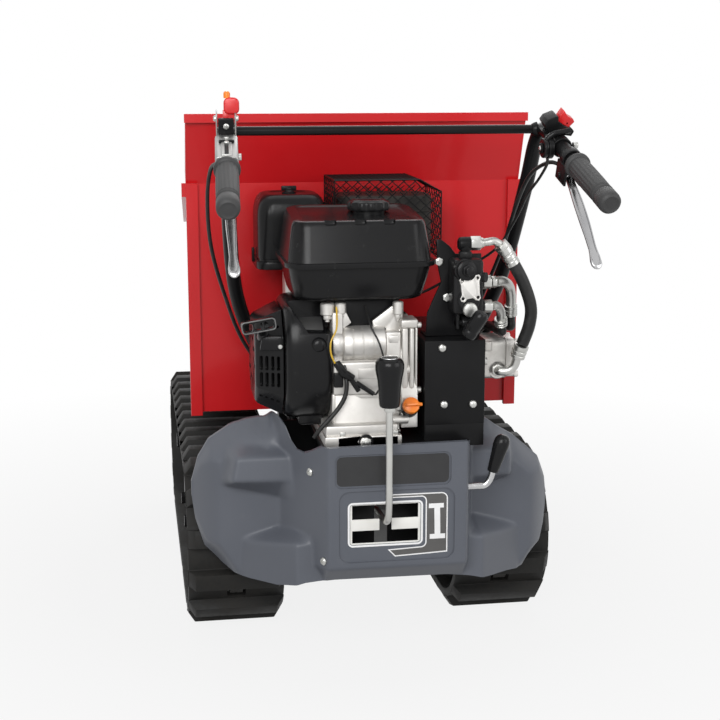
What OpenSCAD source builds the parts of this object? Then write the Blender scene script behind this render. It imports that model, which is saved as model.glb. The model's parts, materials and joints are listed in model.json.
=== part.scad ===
// Tracked power carrier: a walk-behind crawler with an engine over the rear axle and a tipping bin.
// Right seen from behind is +X, forward is +Y, up is +Z, and the ground is z = 0.
// Lengths along the machine are measured from the back wall of the bin, then centred in the box.

/* [Running gear] */
// Width of one rubber track
track_w = 178; // [176:1:180]
// Distance between the centre lines of the two tracks
track_gauge = 506; // [500:1:512]
// Length of one track link
track_pitch = 72; // [71.5:0.1:72.5]
// Number of links in each track
track_links = 32; // [32:2:34]
// Teeth on each drive sprocket, half of them in the track
sprocket_teeth = 12; // [12:2:12]
// Thickness of the track band
band_t = 15; // [14:0.5:16]
// Height of the tread lugs
lug_h = 20; // [18:0.5:22]
// Length of a tread lug along the track
lug_l = 34; // [30:1:36]
// Width of the bevel at the ends of a lug
lug_bevel = 12; // [8:1:16]
// Height of the guide horns inside the track
horn_h = 18; // [14:0.5:19]
// Radius of the track rollers
roller_r = 42; // [40:0.5:43]
// Width of one roller or idler tread
tread_w = 22; // [18:1:23]
// Thickness of the sprocket plate
sprocket_t = 24; // [18:1:28]
// Radius of the drive axles
axle_r = 15; // [12:0.5:18]
// Radius of the roller pins
roller_pin_r = 9; // [7:0.5:11]
// Radius of the idler pins
idler_pin_r = 12; // [10:0.5:14]

/* [Frame] */
// Height of the two long rails
rail_h = 60; // [56:1:62]
// Width of the two long rails
rail_w = 30; // [26:1:32]
// Wall of the rails and cross tubes
rail_wall = 4; // [3:0.5:5]
// Distance between the rail centre lines
rail_gap = 180; // [176:1:182]
// Size of the square cross tubes
cross_size = 40; // [36:1:42]
// Radius of the bin hinge pins
hinge_r = 12; // [10:0.5:13]

/* [Bin] */
// Outer width of the bin at the back wall
bin_w = 644; // [632:1:650]
// Outer width of the bin at the front lip
bin_front_w = 570; // [560:1:580]
// Height of the bin floor above the ground
floor_z = 395; // [395:1:400]
// Height of the back wall up to the fold
back_h = 442; // [430:1:446]
// Height of the leaning headboard above the fold
head_h = 128; // [110:1:140]
// How far the headboard leans out
head_lean = 50; // [40:1:58]
// Height of the side walls at the front
side_front_h = 300; // [270:1:320]
// Length of the flat floor
floor_l = 700; // [680:1:705]
// Length of the rising scoop
scoop_l = 230; // [215:1:240]
// Height of the front lip above the floor
lip_h = 205; // [190:1:220]
// Thickness of the bin sheet
sheet_t = 3; // [2:0.5:4]

/* [Engine] */
// Height of the crankshaft
crank_z = 545; // [543:1:547]
// Radius of the fan shroud round the flywheel
shroud_r = 114; // [110:1:116]
// Length of the fuel tank
tank_l = 277; // [265:1:280]
// Depth of the fuel tank
tank_d = 220; // [210:1:224]
// Height of the fuel tank seam
tank_seam_z = 724; // [720:1:728]
// Height of the fuel tank above the seam
tank_top_h = 76; // [66:1:80]
// Radius of the fuel cap
cap_r = 36; // [30:1:40]
// Radius of the output end of the crankshaft
crank_r = 12.7; // [12:0.1:13]
// Radius of the belt on the drive pulley
drive_r = 40; // [36:1:42]
// Radius of the belt on the driven pulley
driven_r = 58; // [52:1:60]

/* [Console] */
// Half width of the console
console_x = 128; // [126:1:132]
// Top of the console
console_z = 430; // [424:1:432]
// Thickness of the moulded panels
panel_t = 4.5; // [4:0.1:5]
// Reach of the left wing from the centre
wing_left = 332; // [322:1:338]
// Reach of the right wing from the centre
wing_right = 318; // [308:1:326]
// Radius of the gear lever rod
rod_r = 6; // [5:0.5:7]
// Radius of the gear lever knob at the top
knob_r = 24; // [20:1:26]

/* [Handlebar] */
// Radius of the handlebar tubes
tube_r = 13; // [12:0.5:13.5]
// Radius of the rubber grips
grip_r = 18; // [16:0.5:20]
// Length of the rubber grips
grip_l = 150; // [130:1:152]
// Length of the hand levers from their pivot
lever_l = 178; // [150:1:184]
// Radius of the hand lever pivots
lever_pin_r = 4; // [3:0.25:5]

/* [Hydraulics] */
// Radius of the lift cylinder barrel
barrel_r = 26; // [22:0.5:28]
// Radius of the lift cylinder rod
lift_rod_r = 13; // [11:0.5:15]
// Radius of the cylinder foot pin
foot_pin_r = 10; // [8:0.5:11]
// Radius of the pressure hose
hose_r = 11; // [9:0.5:12]

/* [Fits] */
// Radial clearance of every turning pin in its bore
run_fit = 0.05; // [0.02:0.01:0.1]
// Clearance between the track band and the wheels inside it
band_gap = 0.5; // [0.4:0.1:1]
// Hairline between the four lengths of a track, two straight runs and two bends
run_cut = 0.1; // [0.05:0.01:0.2]

/* [Hidden] */
pitch_r = track_pitch * sprocket_teeth / (2 * PI);
band_in = pitch_r - band_t / 2;
band_out = pitch_r + band_t / 2;
axle_z = band_out + lug_h;
half_links = sprocket_teeth / 2;
run_links = (track_links - sprocket_teeth) / 2;
rear_y = -58;
front_y = rear_y + run_links * track_pitch;
track_x = track_gauge / 2;
roller_z = axle_z - band_in + band_gap + roller_r;
roller_ys = [130, 300, 470];
idler_r = band_in - band_gap;
hub_l = 30;
axle_in = 72;
case_x = 95;
axle_end = track_x - hub_l - 8;
tread_in = 38;
arm_in = 63;
arm_t = 7;
beam_h = 50;
beam_w = 60;
rail_x = rail_gap / 2;
rail_top = 390;
rail_low = rail_top - rail_h;
hinge_y = floor_l + 100;
hinge_z = rail_top - 30;
foot_y = 560;
foot_z = 160;
lift_y = floor_l + 30;
lift_z = 365;
crank_y = -270;
base_z = 420;
case_l = -93;
case_r = 20;
cover_r = 48;
shroud_l = -165;
recoil_l = -229;
tank_x = -47;
tank_y = -280;
pulley_l = 112;
pulley_w = 24;
input_y = -120;
input_z = 270;
guard_l = 60;
guard_r = 166;
guard_top = 595;
guard_low = 448;
guard_y = -380;
guard_d = 246;
gate_x = -14.5;
shift_y = -150;
shift_z = 262;
side_y = -290;
side_z = 342;
console_y = -428;
top_bend = [267, -335, 957];
grip_end = [287, -646, 850];
grip_dir = (grip_end - top_bend) / norm(grip_end - top_bend);
grip_run = norm(grip_end - top_bend);
grip_pitch = asin(-grip_dir[2]);
grip_splay = asin(grip_dir[0] / cos(grip_pitch));
lever_t = 152;
lever_drop = 29;
latch_z = 28;
clamp_r = tube_r + 4;
throttle_x = 24;
throttle_z = -3;
switch_x = 14;
switch_z = 31;
bin_front_y = floor_l + scoop_l;
y_mid = (bin_front_y + grip_end[1]) / 2;
taper = atan((bin_w - bin_front_w) / 2 / bin_front_y);
fold_z = floor_z + back_h;

// Points of an arc round c from angle a to angle b.
function arc(c, r, a, b, n) = [for (i = [0:n]) c + r * [cos(a + (b - a) * i / n),
  sin(a + (b - a) * i / n)]];

// Outline of a rectangle with rounded corners.
function round_rect(w, h, r, n = 4) = concat(
  arc([w / 2 - r, h / 2 - r], r, 0, 90, n),
  arc([r - w / 2, h / 2 - r], r, 90, 180, n),
  arc([r - w / 2, r - h / 2], r, 180, 270, n),
  arc([w / 2 - r, r - h / 2], r, 270, 360, n));

// Outline of a band round two circles of radius r that lie level with each other.
function loop(r) = concat(
  arc([rear_y, axle_z], r, 90, 270, 36),
  arc([front_y, axle_z], r, 270, 450, 36));

// Outline of a belt round two circles of different radius.
function belt(c, r, d, s) =
  let (v = d - c, a = atan2(v[1], v[0]), b = acos((r - s) / norm(v)))
  concat(arc(c, r, a + b, a + 360 - b, 24), arc(d, s, a - b, a + b, 24));

// Smooth curve through the points p, with k steps between two of them.
function curve(p, k) = concat([for (i = [0:len(p) - 2]) for (j = [0:k - 1])
  let (t = j / k, a = p[max(i - 1, 0)], b = p[i], c = p[i + 1], d = p[min(i + 2, len(p) - 1)])
  0.5 * (2 * b + (c - a) * t + (2 * a - 5 * b + 4 * c - d) * t * t
    + (3 * b - a - 3 * c + d) * t * t * t)],
  [p[len(p) - 1]]);

function unit(v) = v / norm(v);
function tangent(p, i) = unit(p[min(i + 1, len(p) - 1)] - p[max(i - 1, 0)]);
function carry(n, t) = unit(n - (n * t) * t);
function normals(p, i, n) = i == len(p) ? [] :
  let (m = carry(n, tangent(p, i))) concat([m], normals(p, i + 1, m));

// Round tube or cable of radius r along the points p, with s sides.
module sweep(p, r, s) {
  t0 = tangent(p, 0);
  ns = normals(p, 0, carry(abs(t0[0]) < 0.9 ? [1, 0, 0] : [0, 0, 1], t0));
  m = len(p) - 1;
  ring = [for (i = [0:m]) for (j = [0:s - 1])
    p[i] + r * (cos(360 * j / s) * ns[i] + sin(360 * j / s) * cross(tangent(p, i), ns[i]))];
  near = [for (j = [1:s - 2]) [0, j, j + 1]];
  far = [for (j = [1:s - 2]) [m * s, m * s + j + 1, m * s + j]];
  one = [for (i = [0:m - 1]) for (j = [0:s - 1]) [i * s + j, (i + 1) * s + j, (i + 1) * s + (j + 1) % s]];
  two = [for (i = [0:m - 1]) for (j = [0:s - 1]) [i * s + j,
    (i + 1) * s + (j + 1) % s, i * s + (j + 1) % s]];
  polyhedron(ring, concat(near, far, one, two));
}

// Solid between outline a at height z0 and outline b at height z1.
module frustum(a, b, z0, z1) {
  n = len(a);
  pts = concat([for (p = a) [p[0], p[1], z0]], [for (p = b) [p[0], p[1], z1]]);
  sides = [for (i = [0:n - 1]) [i, n + i, n + (i + 1) % n, (i + 1) % n]];
  polyhedron(pts, concat([[for (i = [0:n - 1]) i]], [[for (i = [n - 1:-1:0]) n + i]], sides));
}

module placed() {
  translate([0, -y_mid, 0]) children();
}

module block(x0, x1, y0, y1, z0, z1) {
  translate([x0, y0, z0]) cube([x1 - x0, y1 - y0, z1 - z0]);
}

// Draws an outline in Y and Z and stretches it along +X.
module along_x(l) {
  rotate([90, 0, 90]) linear_extrude(l) children();
}

// Draws an outline in X and Z and stretches it along +Y.
module along_y(l) {
  translate([0, l, 0]) rotate([90, 0, 0]) linear_extrude(l) children();
}

module x_rod(r, l, n = 48) {
  rotate([0, 90, 0]) cylinder(r = r, h = l, $fn = n);
}

module y_rod(r, l, n = 48) {
  rotate([-90, 0, 0]) cylinder(r = r, h = l, $fn = n);
}

module on_side(s) {
  mirror([s < 0 ? 1 : 0, 0, 0]) translate([track_x, 0, 0]) children();
}

// Places a piece on the handlebar at the distance t behind the bend, on the side s.
module on_grip(s, t) {
  mirror([s < 0 ? 1 : 0, 0, 0]) translate(top_bend + t * grip_dir)
    rotate([grip_pitch, 0, grip_splay]) children();
}

// Places a piece on the track at link k, with its outer side up.
module on_link(k) {
  if (k < half_links) {
    translate([0, rear_y, axle_z]) rotate([360 * k / sprocket_teeth, 0, 0])
      translate([0, 0, pitch_r]) children();
  } else if (k < half_links + run_links) {
    translate([0, rear_y + (k - half_links) * track_pitch, axle_z - pitch_r])
      rotate([180, 0, 0]) children();
  } else if (k < sprocket_teeth + run_links) {
    translate([0, front_y, axle_z]) rotate([360 * (k - run_links) / sprocket_teeth, 0, 0])
      translate([0, 0, pitch_r]) children();
  } else {
    translate([0, front_y - (k - sprocket_teeth - run_links) * track_pitch, axle_z + pitch_r]) children();
  }
}

// Tread lug across the band, bevelled at both ends, with two guide horns inside.
module lug() {
  w = track_w / 2 - 1;
  translate([0, -lug_l / 2, band_t / 2]) along_y(lug_l)
    polygon([[-w, -2.5], [w, -2.5], [w, 2], [w - lug_bevel, lug_h], [lug_bevel - w, lug_h], [-w, 2]]);
  for (s = [-1, 1]) {
    translate([s * 28, 0, -band_t / 2]) rotate([180, 0, 0])
      frustum([[6, -17], [6, 17], [-6, 17], [-6, -17]], [[4, -10], [4, 10], [-4, 10],
        [-4, -10]], -1.5, horn_h);
  }
}

// Track loop in four lengths, so that the space inside it stays open in the contact shapes.
module track_loop() {
  difference() {
    union() {
      translate([-track_w / 2, 0, 0]) along_x(track_w) difference() {
        polygon(loop(band_out));
        polygon(loop(band_in));
      }
      for (k = [0:track_links - 1]) {
        on_link(k + 0.5) lug();
      }
    }
    for (k = [0:track_links - 1]) {
      on_link(k) cube([34, 32, 2 * band_t], center = true);
    }
    for (y = [rear_y, front_y]) {
      block(-track_w, track_w, y - run_cut / 2, y + run_cut / 2, -1, 2 * axle_z + 1);
    }
  }
}

module left_track() {
  placed() color("#24231f") on_side(-1) track_loop();
}

module right_track() {
  placed() color("#24231f") on_side(1) track_loop();
}

// Toothed plate, hub and the axle that runs into the gearbox.
module sprocket() {
  root = pitch_r - 17;
  tip = pitch_r + 4;
  translate([0, rear_y, axle_z]) {
    translate([-sprocket_t / 2, 0, 0]) along_x(sprocket_t) difference() {
      union() {
        circle(r = root, $fn = 96);
        for (a = [0:360 / sprocket_teeth:359]) {
          rotate(a) polygon([[root - 4, -16], [tip - 8, -13], [tip, -8], [tip, 8], [tip - 8, 13],
            [root - 4, 16]]);
        }
      }
      for (a = [30:60:359]) {
        rotate(a) translate([78, 0]) circle(r = 20, $fn = 48);
      }
    }
    translate([-hub_l, 0, 0]) x_rod(34, hub_l - sprocket_t / 2);
    translate([sprocket_t / 2, 0, 0]) x_rod(34, hub_l - sprocket_t / 2);
    translate([axle_in - track_x, 0, 0]) x_rod(axle_r, track_x - axle_in - hub_l);
    for (a = [0:60:359]) {
      rotate([a, 0, 0]) translate([sprocket_t / 2, 48, 0]) x_rod(8, 7, 6);
    }
  }
}

module left_sprocket() {
  placed() color("#3a3b3c") on_side(-1) sprocket();
}

module right_sprocket() {
  placed() color("#3a3b3c") on_side(1) sprocket();
}

// Front wheel with two treads that run beside the guide horns.
module idler() {
  translate([0, front_y, axle_z]) difference() {
    union() {
      for (s = [-1, 1]) {
        translate([s * (tread_in + tread_w / 2) - tread_w / 2, 0, 0]) difference() {
          x_rod(idler_r, tread_w, 96);
          translate([s > 0 ? 8 : -1, 0, 0]) x_rod(idler_r - 16, tread_w - 7, 96);
        }
      }
      translate([-tread_in - tread_w, 0, 0]) x_rod(32, 2 * (tread_in + tread_w));
    }
    translate([-80, 0, 0]) x_rod(idler_pin_r + run_fit, 160);
    for (a = [0:72:359]) {
      rotate([a, 0, 0]) translate([-80, 72, 0]) x_rod(20, 160);
    }
  }
}

module left_idler() {
  placed() color("#3a3b3c") on_side(-1) idler();
}

module right_idler() {
  placed() color("#3a3b3c") on_side(1) idler();
}

// Bottom roller with a waist for the guide horns.
module roller(y) {
  translate([0, y, roller_z]) difference() {
    union() {
      for (s = [-1, 1]) {
        translate([s * (tread_in + tread_w / 2) - tread_w / 2, 0, 0]) x_rod(roller_r, tread_w, 64);
      }
      translate([-tread_in - 1, 0, 0]) x_rod(19, 2 * tread_in + 2);
    }
    translate([-80, 0, 0]) x_rod(roller_pin_r + run_fit, 160);
  }
}

module left_roller_rear() {
  placed() color("#3a3b3c") on_side(-1) roller(roller_ys[0]);
}

module left_roller_mid() {
  placed() color("#3a3b3c") on_side(-1) roller(roller_ys[1]);
}

module left_roller_front() {
  placed() color("#3a3b3c") on_side(-1) roller(roller_ys[2]);
}

module right_roller_rear() {
  placed() color("#3a3b3c") on_side(1) roller(roller_ys[0]);
}

module right_roller_mid() {
  placed() color("#3a3b3c") on_side(1) roller(roller_ys[1]);
}

module right_roller_front() {
  placed() color("#3a3b3c") on_side(1) roller(roller_ys[2]);
}

// Beam inside the track with the roller brackets, the idler fork and their pins.
module track_frame() {
  low = axle_z - beam_h / 2;
  block(-beam_w / 2, beam_w / 2, 98, 515, low, low + beam_h);
  for (y = roller_ys) {
    block(-arm_in - arm_t, arm_in + arm_t, y - 30, y + 30, low - 8, low);
    translate([-arm_in - arm_t, y, roller_z]) x_rod(roller_pin_r, 2 * (arm_in + arm_t));
    for (s = [-1, 1]) {
      translate([s * (arm_in + arm_t / 2) - arm_t / 2, y, 0]) {
        block(0, arm_t, -24, 24, roller_z - 16, low - 8);
      }
      translate([s > 0 ? arm_in + arm_t : -arm_in - arm_t - 8, y, roller_z]) x_rod(14, 8, 6);
    }
  }
  block(-arm_in - arm_t, arm_in + arm_t, 515, 525, low, low + beam_h);
  for (s = [-1, 1]) {
    translate([s * (arm_in + arm_t / 2) - arm_t / 2, 0, 0])
      block(0, arm_t, 525, front_y + 26, axle_z - 18, axle_z + 18);
    translate([s > 0 ? arm_in + arm_t : -arm_in - arm_t - 9, front_y, axle_z]) x_rod(18, 9, 6);
  }
  translate([-arm_in - arm_t, front_y, axle_z]) x_rod(idler_pin_r, 2 * (arm_in + arm_t));
}

module left_track_frame() {
  placed() color("#1d1d1e") on_side(-1) track_frame();
}

module right_track_frame() {
  placed() color("#1d1d1e") on_side(1) track_frame();
}

// Long rails, cross tubes, posts, engine deck, cylinder foot lugs and bin rests.
module main_frame() {
  hw = rail_w / 2;
  side = track_x - beam_w / 2;
  cz = axle_z + cross_size / 2;
  placed() color("#1d1d1e") {
    difference() {
      union() {
        for (s = [-1, 1]) {
          translate([s * rail_x, -320, rail_low + rail_h / 2]) along_y(hinge_y + 345) difference() {
            square([rail_w, rail_h], center = true);
            square([rail_w - 2 * rail_wall, rail_h - 2 * rail_wall], center = true);
          }
          block(s * rail_x - hw, s * rail_x + hw, -390, -110, rail_top, base_z - 8);
          for (y = [150, 470]) {
            block(s * rail_x - hw, s * rail_x + hw, y - 18, y + 18, cz, rail_low);
          }
          block(s * rail_x - 8, s * rail_x + 8, -84, 30, 250, rail_low);
        }
        for (y = [150, 470]) {
          translate([-side, y, axle_z]) along_x(2 * side) difference() {
            square(cross_size, center = true);
            square(cross_size - 2 * rail_wall, center = true);
          }
        }
        block(hw - rail_x, rail_x - hw, hinge_y - 32, hinge_y - 8, rail_low, rail_low + 10);
        block(-118, rail_x + hw, -400, -100, base_z - 8, base_z);
        for (x = [-100, 70]) {
          block(x, x + 24, console_y + panel_t, -399, base_z - 8, base_z);
        }
        for (s = [-1, 1]) {
          block(s * rail_x - 12, s * rail_x + 12, 40, 100, rail_top, floor_z - 0.4);
          translate([s * 25 - 4, 0, 0]) along_x(8)
            polygon([[490, 146], [foot_y, foot_z - 18], [foot_y + 16, foot_z],
              [foot_y, foot_z + 18], [490, 184]]);
        }
        translate([-34, foot_y, foot_z]) x_rod(foot_pin_r, 68);
        translate([rail_x + hw, side_y, side_z]) x_rod(6, 24);
      }
      for (s = [-1, 1]) {
        translate([s * rail_x - 40, hinge_y, hinge_z]) x_rod(hinge_r + run_fit, 80);
      }
    }
  }
}

// Gearbox with the axle tubes, the belt input and the gear lever ears.
module gearbox_case() {
  placed() color("#4a4b4c") difference() {
    union() {
      translate([-case_x, -55, 170]) along_x(2 * case_x) polygon(round_rect(190, 160, 24));
      for (s = [-1, 1]) {
        translate([s > 0 ? case_x : -axle_end, rear_y, axle_z]) x_rod(38, axle_end - case_x);
        translate([s > 0 ? case_x : -case_x - 12, rear_y, axle_z]) x_rod(60, 12, 64);
      }
      translate([16, input_y, input_z]) x_rod(30, 88);
      for (s = [-1, 1]) {
        translate([gate_x + s * 15 - 3.5, 0, 0]) along_x(7)
          polygon([[-150, 236], [-130, 236], [-138, 274], [-162, 274], [-164, 258]]);
      }
      translate([gate_x - 18, shift_y, shift_z]) x_rod(5, 36);
      for (y = [-110, -70, -30, 10]) {
        block(-70, 70, y - 4, y + 4, 82, 96);
      }
    }
    for (s = [-1, 1]) {
      translate([s > 0 ? axle_in - 2 : -axle_end - 5, rear_y, axle_z])
        x_rod(axle_r + run_fit, axle_end + 7 - axle_in);
    }
    translate([20, input_y, input_z]) x_rod(12 + run_fit, 100);
  }
}

// Welded bin: floor, scoop, leaning headboard, side walls with rims, hinge ears and lift lugs.
module bin_shell() {
  t = sheet_t;
  hw = bin_w / 2;
  hf = bin_front_w / 2;
  side_top = floor_z + side_front_h;
  rise = lip_h / scoop_l;
  plan = [[-hw, 0], [hw, 0], [hf, bin_front_y], [-hf, bin_front_y]];
  wall = [[0, floor_z], [floor_l, floor_z], [bin_front_y, floor_z + lip_h], [bin_front_y, side_top - 30],
    [bin_front_y - 30, side_top], [0, fold_z]];
  rim = [[2, fold_z - 26], [2, fold_z], [bin_front_y - 32, side_top], [bin_front_y - 32, side_top - 26]];
  placed() color("#b3191e") difference() {
    union() {
      intersection() {
        translate([0, 0, floor_z]) linear_extrude(fold_z - floor_z + 1) polygon(plan);
        union() {
          block(-hw, hw, 0, floor_l, floor_z, floor_z + t);
          block(-hw, hw, 0, t, floor_z, fold_z);
          translate([-hw, 0, 0]) along_x(bin_w) polygon([[floor_l - 2, floor_z], [floor_l, floor_z],
            [bin_front_y, floor_z + lip_h], [bin_front_y, floor_z + lip_h + 4],
              [floor_l - 2, floor_z + 4]]);
        }
      }
      for (s = [-1, 1]) {
        mirror([s < 0 ? 1 : 0, 0, 0]) translate([hw, 0, 0]) rotate([0, 0, taper]) {
          translate([-t, 0, 0]) along_x(t) polygon(wall);
          translate([-1, 0, 0]) along_x(9) polygon(rim);
        }
        block(s > 0 ? hw - 22 : -hw, s > 0 ? hw : 22 - hw, -8, 2, floor_z - 6, fold_z);
        translate([s > 0 ? hw - t : -hw, 0, 0]) along_x(t) polygon([[0, fold_z - 4],
          [t, fold_z - 4], [24, fold_z + 20],
          [12 - head_lean, fold_z + head_h], [-head_lean, fold_z + head_h]]);
      }
      translate([-hw, 0, 0]) along_x(bin_w) polygon([[0, fold_z - 1], [t, fold_z - 1],
        [t - head_lean, fold_z + head_h],
        [-head_lean, fold_z + head_h]]);
      block(-hw - 2, hw + 2, -head_lean - 4, -head_lean + t, fold_z + head_h - 14, fold_z + head_h + 2);
      for (x = [-220, 0, 220]) {
        block(x - 20, x + 20, 120, floor_l - 60, floor_z - 1, floor_z + 0.5);
      }
      for (s = [-1, 1]) {
        translate([s * (rail_x + rail_w / 2 + 8) - 6, 0, 0]) along_x(12) difference() {
          polygon([[floor_l - 80, floor_z + 1], [floor_l, floor_z + 1],
            [hinge_y + 40, floor_z + 1 + (hinge_y + 40 - floor_l) * rise],
            [hinge_y + 26, hinge_z], [hinge_y + 14, hinge_z - 22], [hinge_y - 14, hinge_z - 22],
            [floor_l - 40, floor_z - 14]]);
          translate([hinge_y, hinge_z]) circle(r = hinge_r + run_fit, $fn = 48);
        }
        translate([s * 26 - 5, 0, 0]) along_x(10) polygon([[lift_y - 50, floor_z + 1],
          [lift_y - 20, lift_z - 20], [lift_y + 20, lift_z - 20],
          [lift_y + 40, floor_z + 1 + (lift_y + 40 - floor_l) * rise], [floor_l, floor_z + 1]]);
        translate([s > 0 ? 31 : -37, lift_y, lift_z]) x_rod(14, 6, 6);
      }
    }
  }
}

// Bin hinge pins and the screws and bolts seen from outside.
module fasteners() {
  placed() color("#b9bbbd") {
    for (s = [-1, 1]) {
      mirror([s < 0 ? 1 : 0, 0, 0]) translate([rail_x - 22, hinge_y, hinge_z]) {
        x_rod(hinge_r, 52);
        translate([52, 0, 0]) x_rod(hinge_r + 6, 6);
        translate([-6, 0, 0]) x_rod(hinge_r + 5, 6, 6);
      }
    }
    for (p = [[90, 583], [94, 484], [145, 483]]) {
      translate([p[0], guard_y - 5, p[1]]) y_rod(7, 5, 32);
    }
    for (p = [[103.5, 722], [92, 655]]) {
      translate([p[0], -345, p[1]]) y_rod(7, 5, 6);
    }
    for (s = [-1, 1]) {
      mirror([s < 0 ? 1 : 0, 0, 0]) {
        translate([141.8, -378, 395]) rotate([0, 0, -105.3]) y_rod(8, 3, 32);
        translate([152, -400.5, 222]) y_rod(8, 4, 32);
      }
      translate([guard_r + 12, crank_y + 50 * s, crank_z]) x_rod(7, 6, 6);
    }
    for (x = [case_l + 10, 8]) {
      for (y = [-387, -159]) {
        translate([x, y, base_z + 18]) cylinder(r = 8, h = 7, $fn = 6);
      }
    }
  }
}

// Barrel that swings on the foot pin, drawn along the line to the rod end.
module lift_line() {
  translate([0, foot_y, foot_z]) rotate([atan2(lift_z - foot_z, lift_y - foot_y), 0, 0]) children();
}

module cylinder_barrel() {
  l = norm([lift_y - foot_y, lift_z - foot_z]);
  placed() color("#1b1b1c") lift_line() difference() {
    union() {
      translate([-18, 0, 0]) x_rod(19, 36);
      translate([0, 10, 0]) y_rod(18, 20);
      translate([0, 26, 0]) y_rod(barrel_r, l - 110);
      translate([0, l - 84, 0]) y_rod(barrel_r + 3, 26);
      translate([0, l - 100, 0]) cylinder(r = 9, h = 36, $fn = 32);
      translate([0, 42, 0]) cylinder(r = 9, h = 36, $fn = 32);
    }
    translate([-20, 0, 0]) x_rod(foot_pin_r + run_fit, 40);
    translate([0, 40, 0]) y_rod(lift_rod_r + 3, l - 108);
    translate([0, 40, 0]) y_rod(lift_rod_r + run_fit, l);
  }
}

module cylinder_rod() {
  l = norm([lift_y - foot_y, lift_z - foot_z]);
  placed() color("#c9cbcc") lift_line() {
    translate([0, 44, 0]) y_rod(lift_rod_r, l - 56);
    difference() {
      translate([-15, l, 0]) x_rod(18, 30);
      translate([-20, l, 0]) x_rod(9, 40);
    }
    translate([-17, l, 0]) x_rod(8.9, 34);
  }
}

// Plan outline of the moulded panel, from the left wing tip round the console to the right one.
function fairing_plan(d) = concat(
  [[-wing_left + d, -229 + d / 2], [-wing_left + 14 + d, -258 + d], [-272, -292 + d],
    [-158 + d, -318 + d],
    [-console_x + d, console_y + d]],
  [[console_x - d, console_y + d], [158 - d, -318 + d], [wing_right - 52, -292 + d],
    [wing_right - 14 - d, -258 + d],
    [wing_right - d, -229 + d / 2]]);

// Outline of the panel seen from behind.
function fairing_face() = [[-250, 434], [-306, 392], [-wing_left - 1, 325], [-wing_left + 4, 266],
  [-309, 206],
  [-284, 186], [-246, 175], [-158, 180], [0, 182], [158, 174], [228, 168], [266, 178],
    [wing_right - 20, 200], [wing_right - 6, 236],
  [wing_right + 1, 284], [wing_right - 6, 322], [wing_right - 24, 354], [246, 400], [205, 436], [178, 418], [134, 418],
  [console_x - 1, console_z], [1 - console_x, console_z], [-134, 424], [-206, 424], [-232, 442]];

// Raised block of the wing, as a shell with the side outline p and the cavity outline q.
module wing_block(x0, x1, p, q) {
  difference() {
    translate([x0, 0, 0]) along_x(x1 - x0) polygon(p);
    translate([x0 + panel_t, 0, 0]) along_x(x1 - x0 - 2 * panel_t) polygon(q);
  }
}

// Moulded rear panel: console with gate and strip recess, wings with raised blocks.
module fairing() {
  top_p = [[-192, 451], [-338, 398], [-348, 352], [-290, 338], [-290, 392], [-192, 428]];
  top_q = [[-180, 450], [-334, 393], [-343, 356], [-280, 343], [-280, 385], [-180, 420]];
  low_p = [[-290, 268], [-392, 244], [-400, 190], [-290, 184]];
  low_q = [[-280, 262], [-387, 239], [-395, 194], [-280, 180]];
  placed() color("#5d6068") difference() {
    union() {
      intersection() {
        translate([0, 0, 150]) linear_extrude(320) polygon(concat(fairing_plan(0),
          [for (i = [9:-1:0]) fairing_plan(panel_t)[i]]));
        translate([0, -460, 0]) along_y(280) polygon(fairing_face());
      }
      block(-console_x + 2, console_x - 2, console_y + 2, console_y + 18, console_z - panel_t, console_z);
      wing_block(-262, -168, top_p, top_q);
      wing_block(169, 240, top_p, top_q);
      wing_block(-250, -134, low_p, low_q);
      wing_block(134, 226, low_p, low_q);
    }
    block(-76, 46, console_y - 5, console_y + 10, 255, 326);
    translate([5, console_y - 5, 287]) along_y(6.2) polygon(round_rect(200, 126, 14));
    translate([-2, console_y - 5, 385]) along_y(6.2) polygon(round_rect(200, 58, 10));
    block(console_x - 8, 170, -412, -386, 296, 388);
  }
}

// Gate behind the console opening with two tongues.
module shift_gate() {
  placed() color("#e8e6e0") difference() {
    translate([-15, console_y + panel_t, 290.5]) along_y(2.5) polygon(round_rect(150, 96, 6));
    block(-72, 42, console_y, console_y + 20, 299, 324);
    block(-72, 42, console_y, console_y + 20, 257, 279);
    block(gate_x - 10.5, gate_x + 10.5, console_y, console_y + 20, 270, 310);
  }
}

// Gear lever: an eye on the gearbox, an arm through the gate and an upright rod.
module shift_lever() {
  rod = curve([[gate_x, -171, 265], [gate_x, -300, 283], [gate_x, -410, 293], [gate_x, -444, 304],
    [gate_x, -455, 335],
    [gate_x, -456, 400], [gate_x, -456, 502]], 4);
  placed() color("#b9bbbd") {
    difference() {
      translate([gate_x - 9, shift_y, shift_z]) x_rod(12, 18);
      translate([gate_x - 12, shift_y, shift_z]) x_rod(5 + run_fit, 24);
    }
    block(gate_x - 5, gate_x + 5, -174, -161.5, shift_z - 5, shift_z + 7);
    sweep(rod, rod_r, 12);
  }
}

module shift_knob() {
  placed() color("#1f1f20") translate([gate_x, -456, 502]) rotate_extrude($fn = 64)
    polygon([[0, 0], [16, 0], [18, 4], [19, 30], [knob_r, 62], [knob_r, 72], [knob_r - 5, 80],
      [14, 85], [0, 85]]);
}

// Lever beside the console that swings on a stud of the rail.
module side_lever() {
  rod = curve([[118, -303, side_z], [118, -350, side_z], [119, -388, side_z], [130, -400, side_z],
    [150, -400, side_z], [163, -400, side_z + 1], [172, -400, side_z + 10], [177, -400, side_z + 24]], 3);
  placed() color("#c9cbcc") {
    difference() {
      translate([110, side_y, side_z]) x_rod(14, 16);
      translate([100, side_y, side_z]) x_rod(6 + run_fit, 40);
    }
    sweep(rod, 6, 12);
  }
}

module side_knob() {
  placed() color("#1f1f20") translate([177.03, -400, side_z + 24.1]) rotate([0, 16.8, 0])
    rotate_extrude($fn = 48)
    polygon([[0, 0], [9, 0], [10, 4], [14, 52], [13, 60], [8, 66], [0, 68]]);
}

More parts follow.
